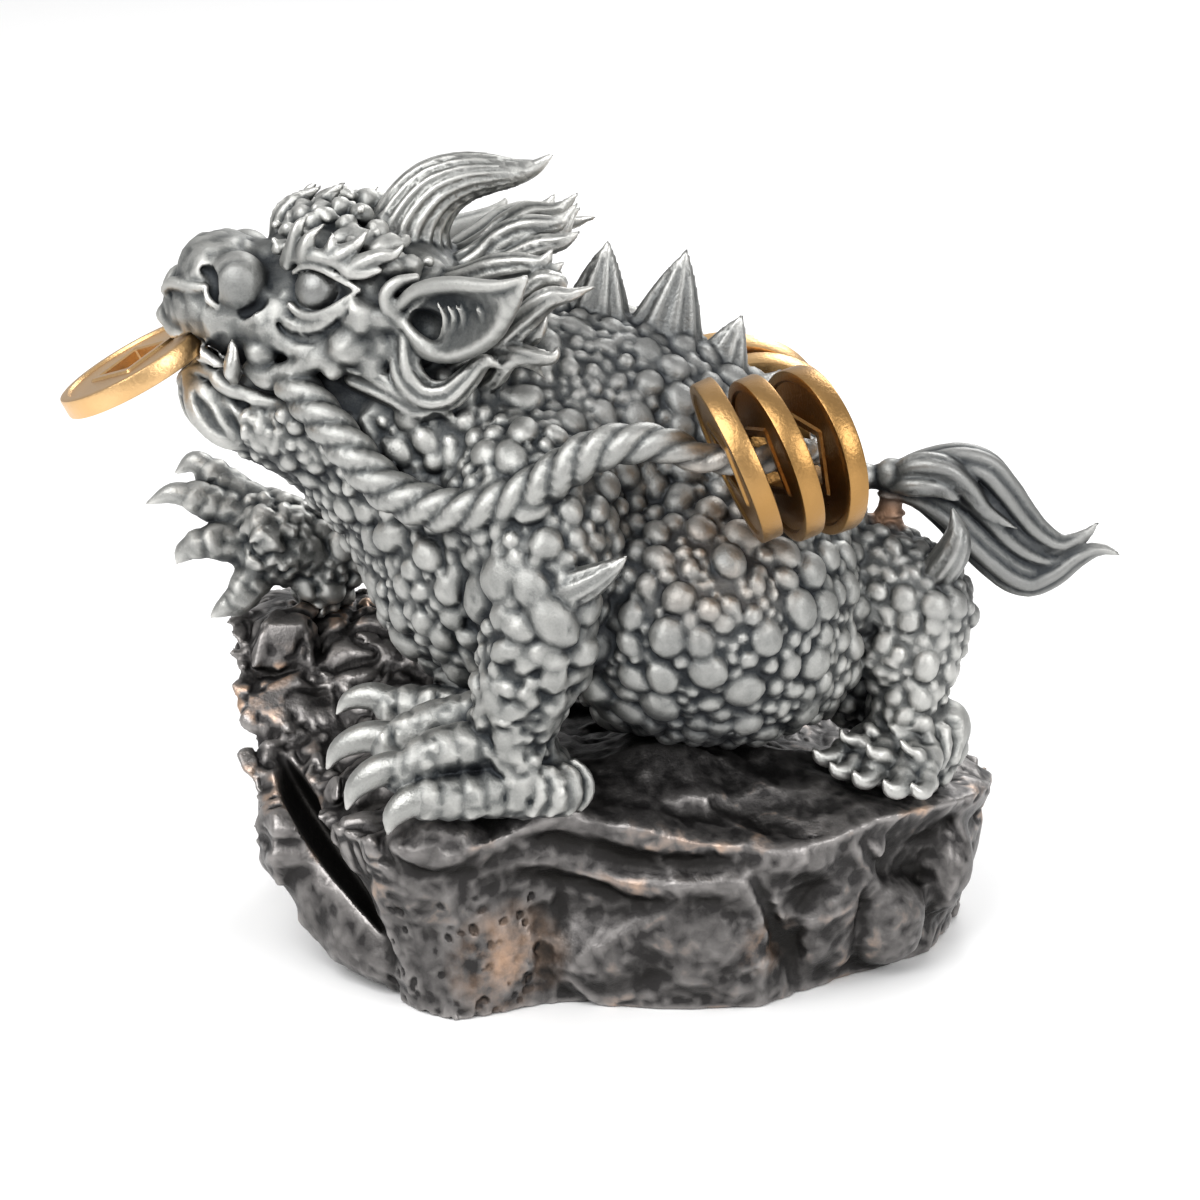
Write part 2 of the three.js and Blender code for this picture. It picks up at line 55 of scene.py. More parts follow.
# Sculpting works in millimetres on grids of signed distances, below zero inside the metal.
MM = 0.001
STEP = 0.45
BEYOND = 6.0  # distance given to places that no shape has reached
GAP = 0.3  # air between neighbours
BOX_AIR = 0.04  # air inside the solids' box
STRAND_OFFSET = 0.43  # from a rope's middle, as a share of its radius
STRAND_RADIUS = 0.59  # as a share of the rope's radius
TOAD_LOW = (-86.4, -49.5, 31.5)
TOAD_HIGH = (95.4, 50.4, 148.5)
ROCK_LOW = (-76.5, -49.5, -2.7)
ROCK_HIGH = (79.2, 53.1, 62.1)
TOAD_FACES = 196000
ROCK_FACES = 120000
NEAR = -1  # y sign of the side with the lowered foreleg
FAR = 1
SIDES = (NEAR, FAR)
PUT, TAKE = True, False


# Clay

def soft_min(a, b, width):
    """The smaller of two distances, rounded where they are close."""
    if width <= 0:
        return np.minimum(a, b)
    share = np.maximum(width - np.abs(a - b), 0) / width
    return np.minimum(a, b) - share * share * (width / 4)


def mixed(grid, whole, part):
    """Values between a grid's steps, from the eight round each place. The grid repeats beyond its ends."""
    total = np.zeros(len(whole), np.float32)
    for corner in np.ndindex(2, 2, 2):
        places = tuple((whole[:, axis] + corner[axis]) % grid.shape[axis] for axis in range(3))
        a, b, c = [np.abs(1 - corner[axis] - part[:, axis]) for axis in range(3)]
        total += grid[places].astype(np.float32) * (a * b * c)
    return total


def along(way, grid):
    """How far places lie along a direction."""
    return grid[0] * way[0] + grid[1] * way[1] + grid[2] * way[2]


class Clay:
    """A block of signed distances that shapes are added to and cut from."""

    def __init__(self, low, high):
        self.low = np.array(low)
        self.size = tuple(int(round((b - a) / STEP)) + 1 for a, b in zip(low, high))
        self.field = np.full(self.size, BEYOND, np.float32)
        self.shine = np.zeros(self.size, np.float16)

    def window(self, low, high):
        """The part of the block between two corners: its slices and its coordinates."""
        first = np.floor((np.array(low) - self.low) / STEP).astype(int).clip(0)
        last = np.minimum(np.ceil((np.array(high) - self.low) / STEP).astype(int) + 1, self.size)
        last = np.maximum(last, first)
        cut = tuple(slice(a, b) for a, b in zip(first, last))
        grid = [np.float32(a) + np.float32(STEP) * steps.astype(np.float32)
                for a, steps in zip(self.low, np.ogrid[cut])]
        return cut, grid

    def about(self, centre, reach):
        """The part of the block round a centre: its slices and its coordinates from there."""
        centre = np.array(centre)
        cut, grid = self.window(centre - reach, centre + reach)
        return cut, [g - np.float32(c) for g, c in zip(grid, centre)]

    def put(self, shape, width, shine=0.0):
        """Adds a shape made by one of the functions below, and marks how polished it is."""
        cut, found = shape(self, width + 2 * STEP)
        self.shine[cut][found < self.field[cut]] = shine
        self.field[cut] = soft_min(self.field[cut], found, width)

    def carve(self, cut, found, width):
        """Takes distances out of the block."""
        self.field[cut] = -soft_min(-self.field[cut], found, width)

    def take(self, shape, width=0.0):
        """Cuts a shape away."""
        cut, found = shape(self, width + 2 * STEP)
        self.carve(cut, found, width)

    def read(self, grid, points):
        """Values of one of the block's grids at points in millimetres, mixed between its steps."""
        place = (points - self.low) / STEP
        whole = np.floor(place).astype(int)
        whole = np.minimum(np.maximum(whole, 0), np.array(self.size) - 2)
        return mixed(grid, whole, (place - whole).astype(np.float32))

    def slope(self, points, reach=0.7):
        """Outward directions at points near the surface."""
        slopes = []
        for axis in range(3):
            move = np.zeros(3)
            move[axis] = reach * STEP
            slopes.append(self.read(self.field, points + move) - self.read(self.field, points - move))
        out = np.stack(slopes, 1)
        return out / np.maximum(np.linalg.norm(out, axis=1, keepdims=True), 1e-6)


# Shapes

def turned(angles):
    """Rows of a rotation by three angles in degrees about x, y and z."""
    turn = Matrix.Identity(3)
    for axis, angle in zip("XYZ", angles):
        turn = Matrix.Rotation(math.radians(angle), 3, axis) @ turn
    return np.array(turn.transposed(), np.float32)


def ball(centre, radii, turn=(0, 0, 0)):
    """An ellipsoid."""
    def shape(clay, margin):
        reach = max(radii) + margin if any(turn) else np.array(radii) + margin
        cut, (x, y, z) = clay.about(centre, reach)
        if any(turn):
            x, y, z = [along(row, (x, y, z)) for row in turned(turn)]
        a = (x / radii[0]) ** 2 + (y / radii[1]) ** 2 + (z / radii[2]) ** 2
        b = (x / radii[0] ** 2) ** 2 + (y / radii[1] ** 2) ** 2 + (z / radii[2] ** 2) ** 2
        a = np.sqrt(a)
        return cut, (a * (a - 1) / np.sqrt(np.maximum(b, 1e-9))).astype(np.float32)
    return shape


def smooth_path(points, per=5):
    """Places along a smooth curve through named points of x, y, z and radius."""
    named = np.array(points, float)
    named = np.vstack([2 * named[0] - named[1], named, 2 * named[-1] - named[-2]])
    spans = np.linalg.norm(np.diff(named[:, :3], axis=0), axis=1) ** 0.5
    knot = np.concatenate([[0], np.cumsum(np.maximum(spans, 1e-3))])
    places = []
    for i in range(1, len(named) - 2):
        t0, t1, t2, t3 = knot[i - 1:i + 3]
        p0, p1, p2, p3 = named[i - 1:i + 3]
        for t in np.linspace(t1, t2, per, endpoint=False):
            a1 = (t1 - t) / (t1 - t0) * p0 + (t - t0) / (t1 - t0) * p1
            a2 = (t2 - t) / (t2 - t1) * p1 + (t - t1) / (t2 - t1) * p2
            a3 = (t3 - t) / (t3 - t2) * p2 + (t - t2) / (t3 - t2) * p3
            b1 = (t2 - t) / (t2 - t0) * a1 + (t - t0) / (t2 - t0) * a2
            b2 = (t3 - t) / (t3 - t1) * a2 + (t - t1) / (t3 - t1) * a3
            places.append((t2 - t) / (t2 - t1) * b1 + (t - t1) / (t2 - t1) * b2)
    places.append(named[-2])
    places = np.array(places)
    places[:, 3] = places[:, 3].clip(0.15)
    return places


def bar(points, across=(0, 1, 0), squash=1.0, flutes=0, depth=0.0, twist=0.0, strands=0, rings=0,
        ring_depth=0.0, per=5):
    """A bar bent along a smooth curve of (x, y, z, radius). Its section is wide along `across` and thinner
    the other way, and it is fluted, stranded or ringed."""
    def shape(clay, margin):
        path = smooth_path(points, per)
        steps = np.linalg.norm(np.diff(path[:, :3], axis=0), axis=1)
        run_share = np.concatenate([[0], np.cumsum(steps)]) / max(steps.sum(), 1e-6)
        if rings:
            path[:, 3] *= 1 + ring_depth * np.cos(2 * np.pi * rings * run_share)
        wide_reach = np.maximum(path[:, 3:], np.vstack([path[1:, 3:], path[-1:, 3:]])) * (1 + depth) + margin
        wide_reach[1:] = np.maximum(wide_reach[1:], wide_reach[:-1])
        cut, _ = clay.window((path[:, :3] - wide_reach).min(0), (path[:, :3] + wide_reach).max(0))
        found = np.full([s.stop - s.start for s in cut], BEYOND, np.float32)
        if not found.size:
            return cut, found
        first = np.array([s.start for s in cut])
        for i in range(len(path) - 1):
            a, b = path[i], path[i + 1]
            reach = max(a[3], b[3]) * (1 + depth) + margin
            low, high = np.minimum(a, b)[:3] - reach, np.maximum(a, b)[:3] + reach
            part, (x, y, z) = clay.window(low, high)
            inner = tuple(slice(s.start - f, s.stop - f) for s, f in zip(part, first))
            if found[inner].size == 0:
                continue
            run = b[:3] - a[:3]
            length = max(float(run @ run), 1e-9)
            x, y, z = x - np.float32(a[0]), y - np.float32(a[1]), z - np.float32(a[2])
            share = np.clip(along(run, (x, y, z)) / length, 0, 1).astype(np.float32)
            radius = np.float32(a[3]) + share * np.float32(b[3] - a[3])
            x, y, z = x - share * run[0], y - share * run[1], z - share * run[2]
            if squash == 1 and not flutes and not strands:
                distance = np.sqrt(x * x + y * y + z * z) - radius
            else:
                way = run / math.sqrt(length)
                wide = np.array(across, float) - way * (np.array(across, float) @ way)
                wide = wide / max(np.linalg.norm(wide), 1e-6)
                thin = np.cross(way, wide)
                u, v, w = [along(direction, (x, y, z)) for direction in (wide, thin, way)]
                v = v / squash
                phase = 2 * np.pi * twist * (run_share[i] + share * (run_share[i + 1] - run_share[i]))
                if strands:
                    distance = np.full(u.shape, BEYOND, np.float32)
                    for strand in range(strands):
                        angle = phase + 2 * np.pi * strand / strands
                        off_u = u - STRAND_OFFSET * radius * np.cos(angle)
                        off_v = v - STRAND_OFFSET * radius * np.sin(angle)
                        tube = np.sqrt(off_u * off_u + off_v * off_v + w * w) - STRAND_RADIUS * radius
                        distance = np.minimum(distance, tube)
                else:
                    swell = 1.0
                    if flutes:
                        lobes = np.abs(np.cos(0.5 * flutes * np.arctan2(v, u) + phase))
                        swell = 1 + depth * (lobes - 0.6)
                    distance = (np.sqrt(u * u + v * v + w * w) - radius * swell) * min(1, 0.5 + 0.5 * squash)
            np.minimum(found[inner], distance, out=found[inner], casting="unsafe")
        return cut, found
    return shape


def curve(points, radii, side=FAR, **section):
    """A bar through points that are written for y above zero, on one side of the toad. Its radii are spread
    evenly along it."""
    spread = np.interp(np.linspace(0, 1, len(points)), np.linspace(0, 1, len(radii)), radii)
    return bar([(x, side * y, z, radius) for (x, y, z), radius in zip(points, spread)], **section)


def curves(clay, rows, side=FAR):
    """Adds or cuts curved bars in their order. A row says whether it adds, how softly it joins, its radii and
    its points, and may end with the section's settings and shine."""
    for adds, width, radii, points, *rest in rows:
        section = dict(*rest)
        shine = section.pop("shine", 0.0)
        if adds:
            clay.put(curve(points, radii, side, **section), width, shine)
        else:
            clay.take(curve(points, radii, side, **section), width)


def roughen(clay, reach, rise, low=(-999,) * 3, high=(999,) * 3, shiniest=9):
    """Raises the skin between two corners by `rise`, a function of its points, unless it is polished."""
    cut, _ = clay.window(low, high)
    inner = np.nonzero((np.abs(clay.field[cut]) < reach) & (clay.shine[cut] < shiniest))
    spots = tuple(axis + piece.start for axis, piece in zip(inner, cut))
    points = np.stack(spots, 1) * STEP + clay.low
    clay.field[spots] -= rise(points).astype(np.float32)


def skin_places(clay):
    """Places on the clay's surface."""
    return np.argwhere(np.abs(clay.field) < 0.5 * STEP) * STEP + clay.low


# Rock

def rock_clay():
    """The rock's block, which starts from the solid of the same name in the frame."""
    clay = Clay(ROCK_LOW, ROCK_HIGH)
    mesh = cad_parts["base_rock"].data
    mesh.calc_loop_triangles()
    points = np.array([vertex.co for vertex in mesh.vertices]) / MM
    faces = np.array([face.vertices for face in mesh.loop_triangles], np.uint32)
    band = BEYOND / STEP
    level = vdb.FloatGrid.createLevelSetFromPolygons(
        ((points - clay.low) / STEP).astype(np.float32), triangles=faces, halfWidth=band)
    level.copyToArray(clay.field)
    clay.field *= STEP
    return clay


def lattice_noise(points, size, seed):
    """Smooth noise from -1 to 1 at points, with lumps of about `size`."""
    values = np.random.default_rng(seed).uniform(-1, 1, (32, 32, 32)).astype(np.float32)
    place = points / size
    whole = np.floor(place).astype(int)
    part = place - whole
    return mixed(values, whole, (part * part * (3 - 2 * part)).astype(np.float32))


def crag_rise(points):
    """Rounded crags with dark clefts at the back left, and scoops between soft ridges elsewhere."""
    x, y, z = points.T
    wild = np.clip((-34 - x) / 6, 0.0, 1) * np.clip((z - 20) / 6, 0.0, 1)
    wild = np.maximum(wild, np.clip((y + 14) / 14, 0, 0.6))
    facet = np.clip(1.6 - np.abs(x + 24) / 10, 0, 1) * np.clip((27 - z) / 5, 0, 1)
    facet = facet * np.clip((-24 - y) / 3, 0, 1)
    bent = points + 2 * np.stack([lattice_noise(points, 6, seed) for seed in (1, 2, 3)], 1)
    knobs = 0.0
    for size, height, seed in ((8.5, 3.6, 4), (4.4, 2.0, 5), (2.3, 0.9, 6)):
        knobs = knobs + height * np.abs(lattice_noise(bent, size, seed))
    scoops = 0.0
    for size, height, seed in ((10, 1.9, 8), (5.2, 0.55, 9), (2.8, 0.18, 10)):
        scoops = scoops - height * np.abs(lattice_noise(bent * (0.55, 1, 0.9), size, seed))
    grain = 0.16 * lattice_noise(points, 1.7, 7) + 0.07 * lattice_noise(points, 0.9, 11)
    rise = wild * (knobs - 2.3) + (1 - wild) * (1 - 0.6 * facet) * (scoops + 0.7) + grain
    return rise.clip(-2.0, 0.6)


ROCK_RIDGES = [
    ([(-16, -36.6, 30.6, 1.4), (-8, -35.2, 28.4, 1.9), (-2, -36, 26.8, 2.1), (6, -37, 24.6, 2.2),
      (13, -37.8, 25.2, 2.2), (19.4, -37.6, 25.8, 2.2), (25.4, -36.6, 23.6, 2),
      (28.6, -34.4, 18.4, 1.6)], 2),
    ([(-9, -37.5, 36.5, 1.4), (-3, -37, 35, 1.8), (4, -36.6, 33.4, 2), (12, -36.4, 32, 2),
      (20, -36.4, 31, 1.8)], 2),
    ([(29, -36, 28.4, 1.8), (34.6, -35, 28.2, 2), (40, -30, 24.4, 1.8), (43, -27.6, 16, 1.6),
      (42, -24.6, 6, 1.4)], 2),
    ([(46, -25, 22, 1.6), (51, -20, 15, 2), (57, -12.4, 12, 1.6)], 2),
]
ROCK_GROOVES = [
    ([(-38, -40, 29, 1.2), (-34, -43, 27.4, 1.6), (-27, -44, 26, 1.8), (-20, -42.4, 27.6, 1.6),
      (-15, -39.4, 30.6, 1)], 2),
    ([(-9, -38.6, 32.4, 1.2), (-3, -38.6, 30.6, 1.8), (4, -38.8, 29, 2.1), (12, -39, 28.4, 2.1),
      (19, -39, 28.4, 1.9), (26, -38.4, 29.4, 1.3)], 2),
    ([(26.6, -39, 26.6, 1), (29, -37, 21, 1.5), (31.4, -33.6, 14, 1.7), (34.6, -30, 6, 1.6),
      (36, -29, -1, 1.4)], 1),
    ([(46.6, -29, 29, 0.8), (48.4, -27, 25, 1.2), (51, -23.6, 21.6, 1.3), (55, -20, 20, 1)], 1.2),
    ([(-11.6, -37, 24, 0.9), (-10.4, -35.4, 18, 1.3), (-10, -34.6, 11.6, 1.3), (-9.2, -34.6, 6, 1.2),
      (-9, -34.4, -1, 1)], 1.5),
    ([(-6, -36, 17, 0.8), (0, -38.4, 18.6, 1.1), (8, -39.4, 18, 1.2), (14, -39.6, 15, 0.9)], 1.5),
    ([(8, -38, 8, 0.8), (13, -38.6, 5, 1.1), (20, -38.4, 4.4, 0.8)], 1.5),
    ([(-39.6, -27.6, 14, 0.9), (-38.6, -29.6, 8, 1.1), (-37, -30.6, 1, 0.9)], 1),
    ([(30, -32, 34.6, 0.4), (35, -32.6, 31.6, 0.7), (40, -31, 30.4, 0.5)], 1.5),
]


ROCK_LOBES = [
    ((-28.6, -37.6, 32.4), (9.4, 6.2, 5), (0, 0, 6), 2),
    ((17, -31.4, 13), (12.5, 7.6, 10), (0, 12, 0), 3),
    ((1, -30.4, 9.6), (9, 7.4, 8), (0, -10, 0), 3),
    ((24, -29.4, 8), (6.4, 6.6, 8), (0, 0, 0), 2.5),
    ((-24, -31, 12), (11.4, 8.2, 16), (0, 0, 0), 3),
    ((38.6, -25.4, 15), (5.4, 6.4, 11), (0, 12, 0), 2),
    ((51, -17, 11), (8, 7, 9), (0, 0, 30), 2.5),
    ((61, -6, 17), (6, 6.6, 10), (0, 0, 40), 2.5),
    ((44, -25, 27), (6, 4.6, 4), (0, 10, 20), 2),
]


def rock_forms(clay):
    """The rock's named lobes, ridges and grooves, and the leaf of rock at the near left."""
    for centre, radii, turn, width in ROCK_LOBES:
        clay.put(ball(centre, radii, turn), width)
    for points, width in ROCK_RIDGES:
        sunk = [(x, y + 0.6 * radius, z, 1.3 * radius) for x, y, z, radius in points]
        clay.put(bar(sunk), 1.6 * width)
    for points, width in ROCK_GROOVES:
        clay.take(bar(points), width)
    leaf = [(-58.8, -2.6, 30, 4), (-57, -6.4, 24.6, 6), (-52.6, -12.4, 17.4, 7.4), (-46, -19.2, 11.6, 7.8),
            (-39, -25.6, 7.2, 7.2)]
    clay.put(bar(leaf, across=(0.35, -0.2, 0.9), squash=0.5), 1)


def rock_slot(clay):
    """The dark slot behind the leaf."""
    slot = [(-57.4, -3.6, 34.6, 6), (-54.4, -7.4, 29.8, 8.6), (-50.6, -12, 25.4, 9.6),
            (-47.6, -16, 22.4, 9.6), (-44.4, -20.4, 19.4, 8), (-41.8, -24, 16.6, 5.4),
            (-39.6, -27.6, 14, 2.6)]
    clay.take(bar(slot, across=(0, 0.95, -0.31), squash=0.31), 0.8)


def rock_pits(clay):
    """Small shallow pits over the near left facet."""
    dice = np.random.default_rng(21)
    places = skin_places(clay)
    facet = (places[:, 0] > -37) & (places[:, 0] < -11) & (places[:, 1] < -27) & (places[:, 2] < 23)
    places = places[facet]
    for centre in places[dice.integers(0, len(places), 110)]:
        radius = dice.uniform(0.3, 0.85)
        radii = (radius * dice.uniform(0.8, 1.4), radius * 0.8, radius * dice.uniform(0.8, 1.6))
        clay.take(ball(centre, radii, (0, dice.uniform(-40, 40), 0)), 0.25)


def rock_piece():
    clay = rock_clay()
    rock_forms(clay)
    roughen(clay, BEYOND - 0.5, crag_rise)
    rock_slot(clay)
    rock_pits(clay)
    foot = (clay.low[2] + STEP * np.arange(clay.size[2])).astype(np.float32)
    clay.field = np.maximum(clay.field, -foot[None, None, :])
    return clay


# Coins

COIN_RADIUS = 14.7
COIN_THICKNESS = 3.8
COIN_HOLE = 9.0
COINS = {
    "mouth_coin": ((-81.9, 0, 108.1), (-0.475, 0, 0.88), 45),
    "coin_near_1": ((23, -40, 102.6), (0.906, 0.196, 0.377), 20),
    "coin_near_2": ((29.8, -38, 102.4), (0.899, 0.317, 0.302), 5),
    "coin_near_3": ((36.6, -34.2, 102.7), (0.878, 0.439, 0.193), 30),
    "coin_far_1": ((29.6, 16, 92.8), (0.05, 0.956, 0.288), 10),
    "coin_far_2": ((25.7, 22.2, 95), (0.016, 0.93, 0.36), 35),
    "coin_far_3": ((22.6, 28.8, 93.8), (-0.06, 0.93, 0.36), 20),
}


def coin_turn(axis, turn):
    """Turns a coin's flat outline onto its axis."""
    tip = Vector((0, 0, 1)).rotation_difference(Vector(axis).normalized())
    return tip @ Quaternion((0, 0, 1), math.radians(turn))


def coin_room(name):
    """The space of a coin with the air round it."""
    centre, axis, turn = COINS[name]

    def shape(clay, margin):
        cut, grid = clay.about(centre, COIN_RADIUS + margin + GAP)
        rows = np.array(coin_turn(axis, turn).to_matrix().transposed())
        u, v, w = [along(row, grid) for row in rows]
        disc = np.maximum(np.abs(w) - COIN_THICKNESS / 2, np.sqrt(u * u + v * v) - COIN_RADIUS)
        hole = np.maximum(np.abs(u), np.abs(v)) - COIN_HOLE / 2
        return cut, np.maximum(disc, -hole).astype(np.float32) - GAP
    return shape


def coin_piece(name):
    """A coin with rolled edges, a raised rim and a raised border round its square hole."""
    centre, axis, turn = COINS[name]
    half = COIN_THICKNESS / 2
    rounds = 96
    edge = 0.45
    rim = 1.7
    sunk = 0.45
    profile = [
        (COIN_RADIUS, 0, 1), (COIN_RADIUS, half - edge, 1), (COIN_RADIUS - 0.13, half - 0.13, 1),
        (COIN_RADIUS - edge, half, 1), (COIN_RADIUS - rim, half, 1),
        (COIN_RADIUS - rim - 0.4, half - sunk, 1),
        (COIN_HOLE * 0.86, half - sunk, 0.6), (COIN_HOLE / 2 + 1.7, half - sunk, 0),
        (COIN_HOLE / 2 + 1.35, half, 0),
        (COIN_HOLE / 2 + 0.3, half, 0), (COIN_HOLE / 2, half - 0.3, 0), (COIN_HOLE / 2, 0, 0),
    ]
    lower = [(reach, -height, roundness) for reach, height, roundness in profile[1:-1]]
    loops = profile + lower[::-1]
    mesh = bmesh.new()
    rows = []
    for reach, height, roundness in loops:
        row = []
        for i in range(rounds):
            angle = 2 * math.pi * (i + 0.5) / rounds
            square = reach / max(abs(math.cos(angle)), abs(math.sin(angle)))
            far_out = roundness * reach + (1 - roundness) * square
            spot = (far_out * math.cos(angle), far_out * math.sin(angle), height)
            row.append(mesh.verts.new([MM * value for value in spot]))
        rows.append(row)
    for a, b in zip(rows, rows[1:] + rows[:1]):
        for i in range(rounds):
            j = (i + 1) % rounds
            mesh.faces.new((a[i], a[j], b[j], b[i]))
    place = Matrix.Translation(Vector(centre) * MM) @ coin_turn(axis, turn).to_matrix().to_4x4()
    bmesh.ops.transform(mesh, matrix=place, verts=mesh.verts)
    bmesh.ops.recalc_face_normals(mesh, faces=mesh.faces)
    data = bpy.data.meshes.new(name)
    mesh.to_mesh(data)
    mesh.free()
    for face in data.polygons:
        face.use_smooth = True
    data.set_sharp_from_angle(angle=math.radians(38))
    return data


# Toad: trunk

def trunk(clay):
    """Belly, chest, seat and shoulders, with the back rising to the neck."""
    clay.put(ball((17, 0, 70.6), (30, 43, 25.4)), 0)
    clay.put(ball((-18, 0, 78), (24, 32.5, 26)), 8)
    clay.put(ball((21, 0, 59.4), (27, 33, 17.4)), 6)
    for side in SIDES:
        clay.put(ball((-10, side * 27, 88), (13.5, 11.5, 13.5)), 6)
    back = [(40, 0, 80, 5), (31, 0, 83, 11), (20, 0, 89, 17.5), (0, 0, 96, 21.5), (-24, 0, 98, 23)]
    clay.put(bar(back), 7)
    clay.put(bar([(-10, 0, 88, 27), (-24, 0, 95, 25.5), (-40, 0, 100, 18.5), (-53, 0, 103, 11.5)]), 6)


def coin_hollow(clay):
    """The hollow behind the spine in which the far coins lie."""
    clay.take(ball((27, 26, 96), (21, 17, 20)), 2)


def warts(clay, sizes, passes, inside, seed):
    """Packs uneven grains over the skin where `inside` allows them, the large ones first. `sizes` gives a
    radius at each place. Each pass is a share of that radius, how far apart the grains stand, and the share
    that is kept."""
    dice = np.random.default_rng(seed)
    places = skin_places(clay)
    places = places[inside(places)]
    dice.shuffle(places)
    outward = clay.slope(places)
    places = places - outward * clay.read(clay.field, places)[:, None]
    base = sizes(places)
    cell = 0.75
    edge = 12
    taken = np.zeros([int(n * STEP / cell) + 2 * edge for n in clay.size], bool)
    homes = ((places - clay.low) / cell).astype(int) + edge
    rounds = {}

    def fill(home, radius):
        reach = max(int(round(2 * radius / cell)), 1)
        if reach not in rounds:
            around = np.mgrid[-10:11, -10:11, -10:11].reshape(3, -1).T
            rounds[reach] = around[(around ** 2).sum(1) <= (reach / 2) ** 2]
        spread = home + rounds[reach]
        taken[spread[:, 0], spread[:, 1], spread[:, 2]] = True

    kept = []
    for share, spacing, keep in passes:
        taken[:] = False
        for i, radius in kept:
            fill(homes[i], min((radius + base[i] * share) * spacing, 7))
        free = np.nonzero(~taken[homes[:, 0], homes[:, 1], homes[:, 2]])[0]
        for i in free:
            home = homes[i]
            if taken[home[0], home[1], home[2]]:
                continue
            radius = base[i] * share * dice.uniform(0.72, 1.22)
            fill(home, min(2 * radius * spacing, 7))
            if dice.random() < keep:
                kept.append((i, radius))
    x, y, z = places.T
    foreleg = (x < 0) & (x > -26) & (y < -26) & (z < 86)
    melts = np.where(foreleg, 0.7, 0.4)
    for i, radius in kept:
        grain(clay, places[i], outward[i], radius, melts[i], dice)


def grain(clay, centre, normal, radius, melt, dice):
    """One wart: a flattened pebble, a little longer down the body and fuller at one end."""
    height = dice.uniform(0.6, 0.88)
    stretch = dice.uniform(1, 1.36)
    fuller = dice.uniform(-0.15, 0.15)
    normal = normal + dice.normal(0, 0.08, 3)
    normal = normal / np.linalg.norm(normal)
    flow = np.array((0.45, 0, -0.9)) + dice.normal(0, 0.5, 3)
    long_way = flow - normal * (flow @ normal)
    long_way = long_way / max(np.linalg.norm(long_way), 1e-6)
    cross_way = np.cross(normal, long_way)
    cut, grid = clay.about(centre, radius * stretch + 0.4 + 1.2 * melt)
    h, u, v = [along(way, grid) for way in (normal, long_way, cross_way)]
    u = u / stretch
    full = radius * (1 + fuller * np.clip(u / radius, -1, 1))
    dome = np.sqrt(u * u + v * v + (h / height) ** 2) - full
    clay.field[cut] = soft_min(clay.field[cut], dome.astype(np.float32) * height, melt)


# Toad: legs

def near_foreleg(clay):
    clay.put(bar([
        (-12, -26, 93, 12.5), (-9, -34.5, 80, 10.3), (-11.5, -36.5, 66, 8.8), (-15, -35.5, 54, 6.8),
        (-16, -34, 44, 7.8),
    ]), 4)
    clay.put(ball((-12, -33, 43), (8.6, 8.6, 6), (0, 15, 0)), 3)


def far_foreleg(clay):
    clay.put(bar([
        (-14, 24, 86, 12.5), (-30, 30, 76, 9.8), (-44, 32, 68, 7.4), (-54, 30, 67, 6), (-62, 28, 70, 6),
    ]), 4)
    clay.put(ball((-59.5, 27, 67.5), (8, 7.6, 7.6)), 3)
    clay.put(bar([(-46, 30, 68, 5), (-51, 28, 61, 5.2), (-52, 28, 56, 4.2)]), 3)


def hind_leg(clay):
    """Haunch, knee, shank and foot."""
    clay.put(bar([
        (40, 0, 71, 9), (49, -4, 69.5, 10.6), (56.5, -6.5, 66, 9.4), (56, -8, 58, 8), (55, -9.5, 49, 6.4),
        (54.5, -10, 38, 7.6),
    ]), 3)
    clay.put(ball((56, -6, 38.5), (9.2, 8.2, 5)), 3)
    clay.put(ball((46, 0, 50), (5, 7, 9)), 2.5)
    clay.put(ball((52.8, -10.4, 58.6), (7.6, 6.4, 6.4)), 1.4)


def knee_crease(clay):
    """The fold of skin over the knee."""
    crease = [(44, -12.4, 57), (45.2, -15.2, 61.4), (48.4, -17.4, 64.6), (52, -18, 65.6), (55, -17.8, 65)]
    clay.take(curve(crease, [0.6, 1.1, 1, 0.3]), 1.2)


NEAR_TOES = [
    ([(-9.6, -35, 42.3), (-17, -39, 42.8), (-24, -42, 42.8), (-29.6, -44, 43.2)],
     [(-27.4, -43.4, 43), (-32.4, -45.4, 43.2), (-35.4, -46.4, 41), (-36.4, -46.6, 37.8)], 4.1),
    ([(-13, -34, 48), (-20, -37, 50.2), (-27, -39, 49.9), (-34, -41, 47)],
     [(-32, -40.6, 47.8), (-38, -41.6, 47.4), (-42, -42, 44.6), (-43.7, -42, 40.6)], 4.2),
    ([(-14, -29, 50.4), (-22, -29, 52.6), (-29, -29, 51.4), (-37, -29, 48.1)],
     [(-35, -29, 49), (-41, -29, 49), (-45.6, -29, 46.8), (-47.8, -29, 43.2)], 4.0),
    ([(-17, -25, 49), (-24.7, -19, 51), (-31, -17, 50.6), (-37, -16, 50.2)],
     [(-35.4, -16.2, 50.4), (-40.4, -15.2, 51.8), (-44.4, -15, 51), (-46.8, -15, 48.4)], 3.7),
    ([(-17, -22, 50), (-20, -20.7, 51.7), (-23, -19, 53.6)],
     [(-22, -19.4, 53), (-25.4, -17.4, 55.6), (-28, -16, 56), (-29.4, -15, 54.4)], 2.8),
]
